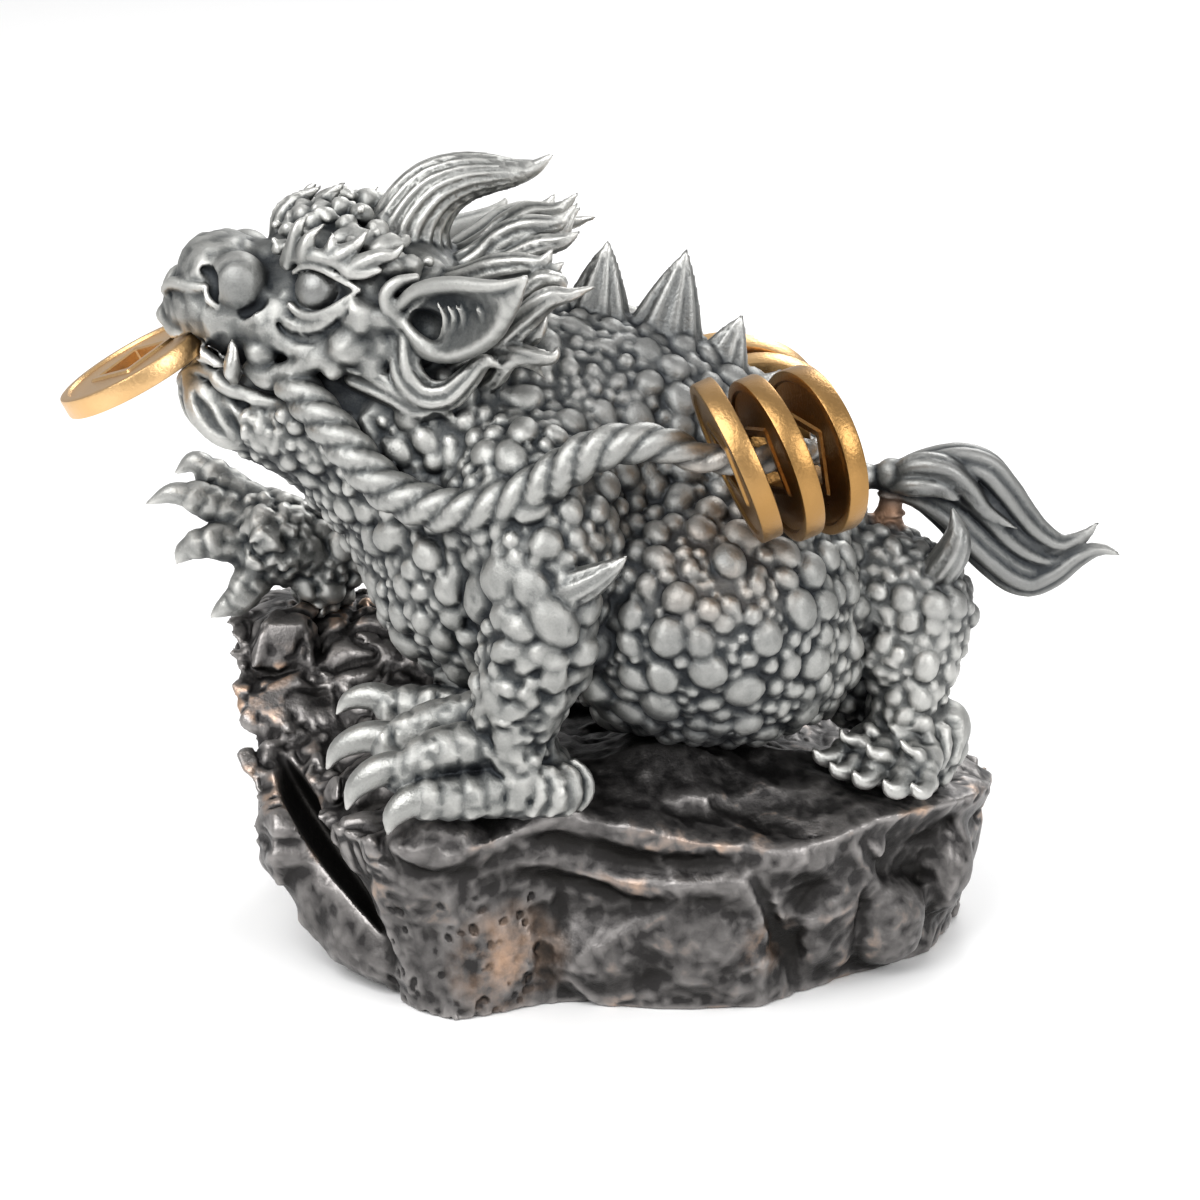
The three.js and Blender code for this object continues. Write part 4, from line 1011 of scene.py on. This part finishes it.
def tail(clay):
    """The tail's root, the knob on its peg, three broad ribbons and two short ones over them."""
    clay.put(bar([(36, 0, 88, 4.4), (42.3, 0, 91.8, 2.3), (46.6, 0, 87.4, 2), (50, 0, 88, 2.1)], rings=4,
                 ring_depth=0.12), 1.2)
    clay.put(ball((51.8, -1.6, 88.9), (2.8, 3, 2.9)), 0.5)
    clay.put(ball((47.4, -1, 88.6), (1.9, 2.4, 2.1)), 0.5)
    clay.put(ball((43.6, -1.4, 91), (2.2, 2.4, 2)), 0.6)
    clay.put(bar([(52, -1, 87, 2.1), (51.8, -1, 83, 2.1), (51.3, -1, 79.6, 2.8), (51.2, -1, 76, 3.6)]), 0.4)
    for height, radius in ((85, 2.5), (81.6, 2.9)):
        clay.put(ball((51.8, -1, height), (radius, radius, 0.6)), 0.3)
    broad = [
        ([(52.2, -0.5, 87.8), (54.3, -1, 88.7), (58.6, -2, 90.5), (64.1, -2.5, 91.5), (68.2, -2.5, 90.3),
          (71.9, -2, 86.2), (75.1, -1, 81.5), (78.3, -0.5, 77.8), (82.4, 0, 75.3), (86.5, 0, 76.8),
          (89.1, 0, 79.3)], 3),
        ([(52.9, -1, 87.4), (57.8, -2, 87.7), (62.6, -2, 86.8), (66.8, -2, 84.2), (69.8, -1.5, 81),
          (72.9, -1, 77), (76.7, -0.5, 73.8), (80.7, 0, 72.2), (86, 0, 73.8)], 3.2),
        ([(54, -1, 85.7), (57.9, -2, 84.7), (62.4, -2, 81.4), (66.8, -1.5, 76.6), (71.1, -1, 72.3),
          (74.5, -0.5, 69.6), (77.4, 0, 68.6), (81.3, 0, 70), (85.7, 0, 73.1), (89.6, 0, 74.4),
          (93.2, 0, 73.3)], 3),
    ]
    for points, radius in broad:
        radii = [radius * share for share in (0.7, 1, 1.05, 1, 0.85, 0.55, 0.1)]
        clay.put(curve(points, radii, across=(0, 1, 0), flutes=5, depth=0.27, twist=0.35, per=6), 0.3)
    short = [
        ([(53.1, -2.5, 88.7), (55.2, -4.5, 91), (58.3, -5.6, 91.6), (61.8, -6, 90.6), (65.3, -5.6, 87.3),
          (68, -4.8, 83.6), (71.1, -4.3, 81.2), (74.2, -4, 79.4)], 2.3),
        ([(52.6, -3.5, 87.1), (54.8, -6, 88.1), (57.4, -6.6, 88.2), (60.1, -6.6, 87.6), (62.3, -6.2, 86.2),
          (63.6, -6, 85.2)], 1.9),
    ]
    for points, radius in short:
        radii = [radius * share for share in (0.7, 1, 1, 0.8, 0.5, 0.1)]
        clay.put(curve(points, radii, across=(0, 1, 0), flutes=4, depth=0.2, twist=0.3), 0.35, shine=0.5)


ROPE_FLANK = [
    (-53, 16, 109.5), (-44.8, 24, 102), (-35.2, 29, 93.4), (-22.2, 35, 92), (-12, 38.4, 96.6),
    (0, 40.2, 104.6),
    (10, 40.4, 105.6), (17, 40.2, 103),
]
ROPE_BACK = [
    (17, -40.2, 103), (23, -40, 102.6), (29.8, -38, 102.4), (36.6, -34.2, 102.7), (41.6, -25, 100.4),
    (43, -11, 96),
    (38.6, 4, 93), (29.6, 16, 92.8), (25.7, 22.2, 95), (22.6, 28.8, 93.8), (19, 35.6, 96.4),
    (17, 40.2, 103),
]


def ropes(clay):
    """A three-strand rope over both flanks, through the coins and over the rump."""
    for side in SIDES:
        flank = curve(ROPE_FLANK, [3.8, 4, 4, 3.8, 2.7], side, strands=3, twist=side * 5.4, per=12)
        clay.put(flank, 0.2, shine=0.2)
    clay.put(curve(ROPE_BACK, [2.6, 2.5, 2.5], strands=3, twist=-7, per=10), 0.2, shine=0.2)


# Toad as a whole

def wart_sizes(places):
    """Wart radius: large on the flank, smaller on the back, the neck, the chest and the legs."""
    x, y, z = places.T
    size = np.interp(z, [40, 52, 60, 88, 100, 112, 120], [1.9, 2.5, 2.5, 2.2, 2.0, 1.8, 1.5])
    size = size * np.interp(x, [-60, -45, -30, -12, 2, 38, 46, 60], [0.5, 0.75, 0.96, 1, 1, 1, 0.75, 0.72])
    foreleg = (x < -2) & (x > -26) & (y < -26) & (z < 84)
    return np.where(foreleg, np.interp(z, [46, 56, 66, 84], [0.9, 1.5, 2.6, 2.7]), size)


def on_body(places):
    """Everywhere but the face."""
    x, _, z = places.T
    return ~((x < -28 - 0.5 * (118 - z)) & (z > 104)) & ~((x < -24) & (z > 112))


def toad_clay(rock):
    clay = Clay(TOAD_LOW, TOAD_HIGH)
    trunk(clay)
    near_foreleg(clay)
    far_foreleg(clay)
    hind_leg(clay)
    coin_hollow(clay)
    skull(clay)
    cheeks(clay)
    crown(clay)
    passes = [(1.25, 1.0, 0.6), (0.88, 0.94, 0.75), (0.6, 0.92, 0.85), (0.4, 0.94, 0.8)]
    warts(clay, wart_sizes, passes, on_body, 11)
    knee_crease(clay)
    roughen(clay, 1.8, body_rise)
    mouth(clay)
    roughen(clay, 1.6, face_rise)
    nose(clay)
    eyes(clay)
    brows(clay)
    toes(clay, NEAR_TOES + FAR_TOES + HIND_TOES)
    curls(clay)
    for low, high in PAWS:
        roughen(clay, 1.4, paw_rise, low, high, shiniest=0.5)
    leg_spikes(clay)
    ears(clay)
    horn(clay)
    spines(clay)
    locks(clay)
    ropes(clay)
    tail(clay)
    shift = [int(round((a - b) / STEP)) for a, b in zip(rock.low, clay.low)]
    mine, theirs = [], []
    for axis in range(3):
        first, last = max(shift[axis], 0), min(shift[axis] + rock.size[axis], clay.size[axis])
        mine.append(slice(first, last))
        theirs.append(slice(first - shift[axis], last - shift[axis]))
    clay.carve(tuple(mine), rock.field[tuple(theirs)] - GAP, 0.3)
    for name in COINS:
        clay.take(coin_room(name))
    return clay


# Meshes

def blurred(field, reach):
    """The grid averaged over a box of `reach` steps each way."""
    result = field
    for axis in range(3):
        padded = np.concatenate([np.repeat(np.take(result, [0], axis), reach + 1, axis), result,
                                 np.repeat(np.take(result, [-1], axis), reach, axis)], axis)
        total = np.cumsum(padded, axis=axis, dtype=np.float64).astype(np.float32)
        count = result.shape[axis]
        ahead = np.take(total, range(2 * reach + 1, 2 * reach + 1 + count), axis)
        behind = np.take(total, range(0, count), axis)
        result = (ahead - behind) / (2 * reach + 1)
    return result


def trim(clay):
    """Keeps a block inside the box of the CAD solids."""
    for axis in range(3):
        spots = (clay.low[axis] + STEP * np.arange(clay.size[axis])).astype(np.float32)
        beyond = np.maximum(cad_box[0][axis] / MM - spots, spots - cad_box[1][axis] / MM) + BOX_AIR
        across = [1, 1, 1]
        across[axis] = -1
        clay.field = np.maximum(clay.field, beyond.reshape(across).astype(np.float32))


def main_body(points, quads):
    """The points and faces of the largest connected surface, without crumbs and closed bubbles."""
    starts = quads.ravel()
    ends = np.roll(quads, -1, axis=1).ravel()
    group = np.arange(len(points))
    while True:
        a, b = group[starts], group[ends]
        if (a == b).all():
            break
        low = np.minimum(a, b)
        np.minimum.at(group, a, low)
        np.minimum.at(group, b, low)
        shorter = group[group]
        while (shorter != group).any():
            group = shorter
            shorter = group[group]
    largest = np.bincount(group).argmax()
    kept = group == largest
    renumbered = np.cumsum(kept, dtype=np.int32) - 1
    return points[kept], renumbered[quads[kept[quads[:, 0]]]]


def skin(clay, name, most):
    """A mesh of the clay's surface with smooth normals and the marks that its material reads."""
    trim(clay)
    level = vdb.FloatGrid(background=BEYOND)
    level.copyFromArray(clay.field, tolerance=0.0)
    points, triangles, quads = level.convertToPolygons(isovalue=0.0, adaptivity=0.0)
    points, faces = main_body(points, quads.astype(np.int32))
    data = bpy.data.meshes.new(name)
    data.vertices.add(len(points))
    places = points.astype(np.float64) * STEP + clay.low
    data.vertices.foreach_set("co", (places * MM).astype(np.float32).ravel())
    data.loops.add(faces.size)
    data.loops.foreach_set("vertex_index", faces.ravel())
    data.polygons.add(len(faces))
    data.polygons.foreach_set("loop_start", np.arange(0, faces.size, 4, dtype=np.int32))
    data.update(calc_edges=True)
    data.validate()
    piece = bpy.data.objects.new(name, data)
    bpy.context.scene.collection.objects.link(piece)
    if 2 * len(faces) > most:
        thin = piece.modifiers.new("thin", "DECIMATE")
        thin.ratio = most / (2 * len(faces))
        bpy.context.view_layer.update()
        made = bpy.data.meshes.new_from_object(piece.evaluated_get(bpy.context.evaluated_depsgraph_get()))
        piece.modifiers.clear()
        piece.data = made
        bpy.data.meshes.remove(data)
        data = made
        data.name = name
    marks(clay, data)
    return piece


def marks(clay, data):
    """Writes how sunk and how polished the skin is and the painted shade of its broad hollows and undersides,
    and gives it the clay's normals.
    """
    places = np.empty(len(data.vertices) * 3, np.float32)
    data.vertices.foreach_get("co", places)
    places = places.reshape(-1, 3).astype(np.float64) / MM
    fine_reach, broad_reach, cap = 1.1, 3.6, 2.5
    capped = clay.field.clip(-cap, cap)
    fine = clay.read(blurred(capped, max(1, round(fine_reach / STEP))), places)
    broad = clay.read(blurred(capped, max(2, round(broad_reach / STEP))), places)
    outward = clay.slope(places)
    # Painted shade: lower in broad hollows and where the skin faces down, which the materials darken.
    shaded = broad - 1.5 * (-0.1 - outward[:, 2]).clip(0, 1)
    for name, values in (("sunk", fine), ("painted_shade", shaded), ("shine", clay.read(clay.shine, places))):
        layer = data.attributes.new(name, "FLOAT", "POINT")
        layer.data.foreach_set("value", values.astype(np.float32))
    for face in data.polygons:
        face.use_smooth = True
    data.normals_split_custom_set_from_vertices(outward.astype(np.float32))


# Materials

class Nodes:
    """A short way to write a material's nodes."""

    def __init__(self, name):
        self.material = bpy.data.materials.new(name)
        self.material.use_nodes = True
        self.tree = self.material.node_tree
        self.shader = self.tree.nodes["Principled BSDF"]

    def node(self, kind, inputs=None, **settings):
        made = self.tree.nodes.new(kind)
        for key, value in settings.items():
            setattr(made, key, value)
        for key, value in (inputs or {}).items():
            self.join(value, made.inputs[key])
        return made

    def join(self, value, socket):
        if hasattr(value, "is_output"):
            self.tree.links.new(value, socket)
        else:
            socket.default_value = value

    def mark(self, name):
        return self.node("ShaderNodeAttribute", attribute_name=name).outputs["Fac"]

    def span(self, value, low, high, to_low=0.0, to_high=1.0):
        """Maps a value from one range to another, held at the ends."""
        made = self.node("ShaderNodeMapRange", {0: value, 1: low, 2: high, 3: to_low, 4: to_high})
        return made.outputs[0]

    def math(self, kind, a, b):
        return self.node("ShaderNodeMath", {0: a, 1: b}, operation=kind).outputs[0]

    def times(self, a, b):
        return self.math("MULTIPLY", a, b)

    def plus(self, a, b):
        return self.math("ADD", a, b)

    def grained(self, value, grains, reach):
        """A value moved up and down a little by the metal's grain."""
        return self.plus(value, self.span(grains, 0.3, 0.7, -reach, reach))

    def mix(self, share, a, b):
        return self.node("ShaderNodeMix", {"Factor": share, 6: a, 7: b}, data_type="RGBA").outputs[2]

    def noise(self, scale, detail=4.0, rough=0.55):
        place = self.node("ShaderNodeTexCoord").outputs["Object"]
        made = self.node("ShaderNodeTexNoise", {"Vector": place, "Scale": scale, "Detail": detail,
                                                "Roughness": rough})
        return made.outputs["Fac"]

    def near(self, spot, inner, outer):
        """One within `inner` of a place in the object, falling to nought at `outer`."""
        place = self.node("ShaderNodeTexCoord").outputs["Object"]
        away = self.node("ShaderNodeVectorMath", {0: place, 1: spot}, operation="DISTANCE").outputs["Value"]
        return self.span(away, inner, outer, 1.0, 0.0)

    def bump(self, height, distance, strength):
        made = self.node("ShaderNodeBump", {"Height": height, "Distance": distance, "Strength": strength})
        return made.outputs["Normal"]

    def finish(self, **sockets):
        for key, value in sockets.items():
            self.join(value, self.shader.inputs[key.replace("_", " ")])
        return self.material


def pewter():
    """Antiqued pewter: satin rubbed tops, blue-black hollows, a copper blush on the flank, painted shade in
    broad hollows and under the body, and painted light on the hind knee.
    """
    n = Nodes("pewter")
    sunk, painted_shade, shine = n.mark("sunk"), n.mark("painted_shade"), n.mark("shine")
    patches = n.noise(90.0, 3)
    grains = n.noise(2300.0, 3, 0.65)
    raised = n.plus(n.span(sunk, -0.2, 0.32), n.times(n.math("SUBTRACT", patches, 0.5), 0.3))
    # Painted shade dims the tops in broad hollows and under the body.
    raised = n.times(raised, n.span(painted_shade, -0.9, 0.1, 0.25, 1.0))
    raised = n.math("MAXIMUM", raised, n.times(shine, 0.6))
    raised = n.grained(raised, grains, 0.05)
    # Painted light: a lighter patch over the hind knee and haunch.
    raised = n.plus(raised, n.times(n.near((0.056, -0.012, 0.060), 0.012, 0.024), 0.16))
    tone = n.mix(n.span(raised, 0.0, 0.5), (0.03, 0.034, 0.037, 1), (0.22, 0.224, 0.216, 1))
    tone = n.mix(n.span(raised, 0.4, 1.0), tone, (0.57, 0.565, 0.54, 1))
    blush = n.times(n.near((0.021, -0.042, 0.090), 0.004, 0.02), n.span(raised, 0.2, 0.8, 0.15, 0.55))
    tone = n.mix(n.times(blush, n.span(patches, 0.35, 0.65)), tone, (0.5, 0.34, 0.22, 1))
    tone = n.mix(n.near((0.0516, -0.001, 0.0815), 0.0025, 0.005), tone, (0.4, 0.24, 0.15, 1))
    # Darker spots: painted shade under the belly and in the nostrils, and darker tone over the tail, the
    # back, the near flank and the eyeballs.
    for spot, inner, outer, share in (
        ((0.074, -0.002, 0.082), 0.016, 0.032, 0.45),
        ((0.012, -0.012, 0.112), 0.010, 0.034, 0.4),
        ((0.014, -0.026, 0.047), 0.008, 0.020, 0.55),
        ((0.016, -0.040, 0.084), 0.010, 0.030, 0.25),
        ((-0.0485, -0.0160, 0.1258), 0.003, 0.0055, 0.4),
        ((-0.0485, 0.0160, 0.1258), 0.003, 0.0055, 0.4),
        ((-0.0625, -0.0125, 0.1259), 0.003, 0.0065, 0.2),
        ((-0.0625, 0.0125, 0.1259), 0.003, 0.0065, 0.2),
    ):
        tone = n.mix(n.times(n.near(spot, inner, outer), share), tone, (0.06, 0.064, 0.07, 1))
    # Painted shade: darker in broad hollows and on the parts that face down.
    tone = n.mix(n.span(painted_shade, -1.3, -0.2, 0.8, 0.0), tone, (0.02, 0.022, 0.026, 1))
    rough = n.grained(n.span(raised, 0.0, 1.0, 0.6, 0.45), grains, 0.05)
    rough = n.math("SUBTRACT", rough, n.times(shine, 0.14))
    normal = n.bump(grains, 0.00016, 0.6)
    return n.finish(Base_Color=tone, Metallic=0.95, Roughness=rough, Normal=normal)


def rock_bronze():
    """Dark waxed bronze: grey sheen painted along its swells with the rubbed wear, copper where it is rubbed
    through, and painted shade in its hollows, its undersides and under the toad's belly.
    """
    n = Nodes("rock")
    sunk, painted_shade = n.mark("sunk"), n.mark("painted_shade")
    patches = n.noise(60.0, 4)
    clouds = n.noise(130.0, 5, 0.6)
    grains = n.noise(1100.0, 4, 0.65)
    # Lighter grey on ridges and swells: rubbed wear and a painted sheen.
    wear_and_sheen = n.plus(n.span(sunk, -0.06, 0.26), n.times(n.math("SUBTRACT", clouds, 0.5), 0.4))
    wear_and_sheen = n.grained(wear_and_sheen, grains, 0.06)
    tone = n.mix(n.span(wear_and_sheen, 0.0, 0.95), (0.034, 0.032, 0.032, 1), (0.27, 0.256, 0.248, 1))
    copper = n.times(n.span(wear_and_sheen, 0.35, 0.85), n.span(patches, 0.54, 0.66))
    for low, high, spot, inner, outer in (
        (0.42, 0.66, (-0.016, -0.037, 0.010), 0.003, 0.012),
        (0.45, 0.62, (0.029, -0.033, 0.012), 0.001, 0.007),
    ):
        patch = n.times(n.span(clouds, low, high), n.near(spot, inner, outer))
        copper = n.math("MAXIMUM", copper, patch)
    tone = n.mix(n.times(copper, 0.75), tone, (0.52, 0.34, 0.23, 1))
    # Painted shade: darker in broad hollows and on faces turned down.
    tone = n.mix(n.span(painted_shade, -0.9, 0.05), (0.012, 0.011, 0.01, 1), tone)
    # Painted shadow of the toad's belly on the rock's top.
    belly_shadow = n.times(n.near((0.012, 0.006, 0.038), 0.018, 0.036), 0.75)
    tone = n.mix(belly_shadow, tone, (0.008, 0.008, 0.008, 1))
    rough = n.grained(n.span(wear_and_sheen, 0.0, 1.0, 0.46, 0.34), grains, 0.06)
    normal = n.bump(grains, 0.0003, 0.5)
    return n.finish(Base_Color=tone, Metallic=0.85, Roughness=rough, Normal=normal)


def gilt():
    """Satin gold with a fine cast grain, and painted shade over the coins on the near flank."""
    n = Nodes("gilt")
    patches = n.noise(60.0, 3)
    grains = n.noise(1500.0, 3, 0.6)
    tone = n.mix(n.span(patches, 0.3, 0.7), (0.6, 0.37, 0.16, 1), (0.7, 0.46, 0.23, 1))
    # Painted shade: the coins on the near flank are darker.
    tone = n.mix(n.near((0.031, -0.036, 0.097), 0.018, 0.036), tone, (0.34, 0.19, 0.065, 1))
    rough = n.grained(n.span(patches, 0.3, 0.7, 0.3, 0.37), grains, 0.04)
    normal = n.bump(grains, 0.00016, 0.5)
    return n.finish(Base_Color=tone, Metallic=1.0, Roughness=rough, Normal=normal)


def floor_white():
    """Glossy white studio floor."""
    n = Nodes("floor")
    cloud = n.noise(3.0, 2)
    tone = n.mix(cloud, (0.93, 0.93, 0.93, 1), (0.95, 0.95, 0.95, 1))
    return n.finish(Base_Color=tone, Roughness=0.35)


# Scene

def place(piece, node, slot, material):
    """Puts a finished piece on the frame in the place of its CAD node."""
    piece.data.materials.clear()
    piece.data.materials.append(material)
    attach(piece, "root")
    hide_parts(node)


def light(name, spot, target, size, power):
    """A large square soft light."""
    data = bpy.data.lights.new(name, "AREA")
    data.shape = "SQUARE"
    data.size = size
    data.energy = power
    lamp = bpy.data.objects.new(name, data)
    lamp.location = spot
    lamp.rotation_euler = (Vector(target) - Vector(spot)).to_track_quat("-Z", "Y").to_euler()
    bpy.context.scene.collection.objects.link(lamp)


def camera():
    """A long lens level with the figurine, 18 degrees above it."""
    rise = math.radians(18)
    away = 0.8
    target = Vector((0, 0, 0.0648))
    data = bpy.data.cameras.new("camera")
    picture_widths = 4448 / 1200  # focal length in widths of the picture
    data.sensor_width = 36
    data.lens = data.sensor_width * picture_widths
    eye = bpy.data.objects.new("camera", data)
    eye.location = target + away * Vector((0, -math.cos(rise), math.sin(rise)))
    eye.rotation_euler = (math.radians(90) - rise, 0, 0)
    bpy.context.scene.collection.objects.link(eye)
    bpy.context.scene.camera = eye


def studio():
    floor = bpy.data.meshes.new("floor")
    half = 3.0
    corners = [(-half, -half, 0), (half, -half, 0), (half, half, 0), (-half, half, 0)]
    floor.from_pydata(corners, [], [(0, 1, 2, 3)])
    ground = bpy.data.objects.new("floor", floor)
    bpy.context.scene.collection.objects.link(ground)
    floor.materials.append(floor_white())
    world = bpy.data.worlds.new("studio")
    world.use_nodes = True
    world.node_tree.nodes["Background"].inputs["Color"].default_value = (1, 1, 1, 1)
    world.node_tree.nodes["Background"].inputs["Strength"].default_value = 0.6
    bpy.context.scene.world = world
    bpy.context.scene.view_settings.view_transform = "Standard"
    light("key", (-0.55, -0.6, 0.85), (0, 0, 0.08), 1.0, 15)
    light("fill", (0.8, -0.8, 0.6), (0, 0, 0.06), 0.6, 7)
    light("rim", (0.35, 0.7, 0.7), (0, 0, 0.08), 0.5, 5)
    light("backdrop", (0, 1.9, 1.2), (0, 1.9, 0), 1.6, 3)


camera()
studio()
rock = rock_piece()
toad = toad_clay(rock)
place(skin(toad, "toad_pewter", TOAD_FACES), "toad", "pewter", pewter())
place(skin(rock, "rock_bronze", ROCK_FACES), "base_rock", "rock", rock_bronze())
gold = gilt()
for coin_name in COINS:
    disc = bpy.data.objects.new(coin_name + "_gilt", coin_piece(coin_name))
    bpy.context.scene.collection.objects.link(disc)
    place(disc, coin_name, "gilt", gold)

bpy.context.view_layer.update()
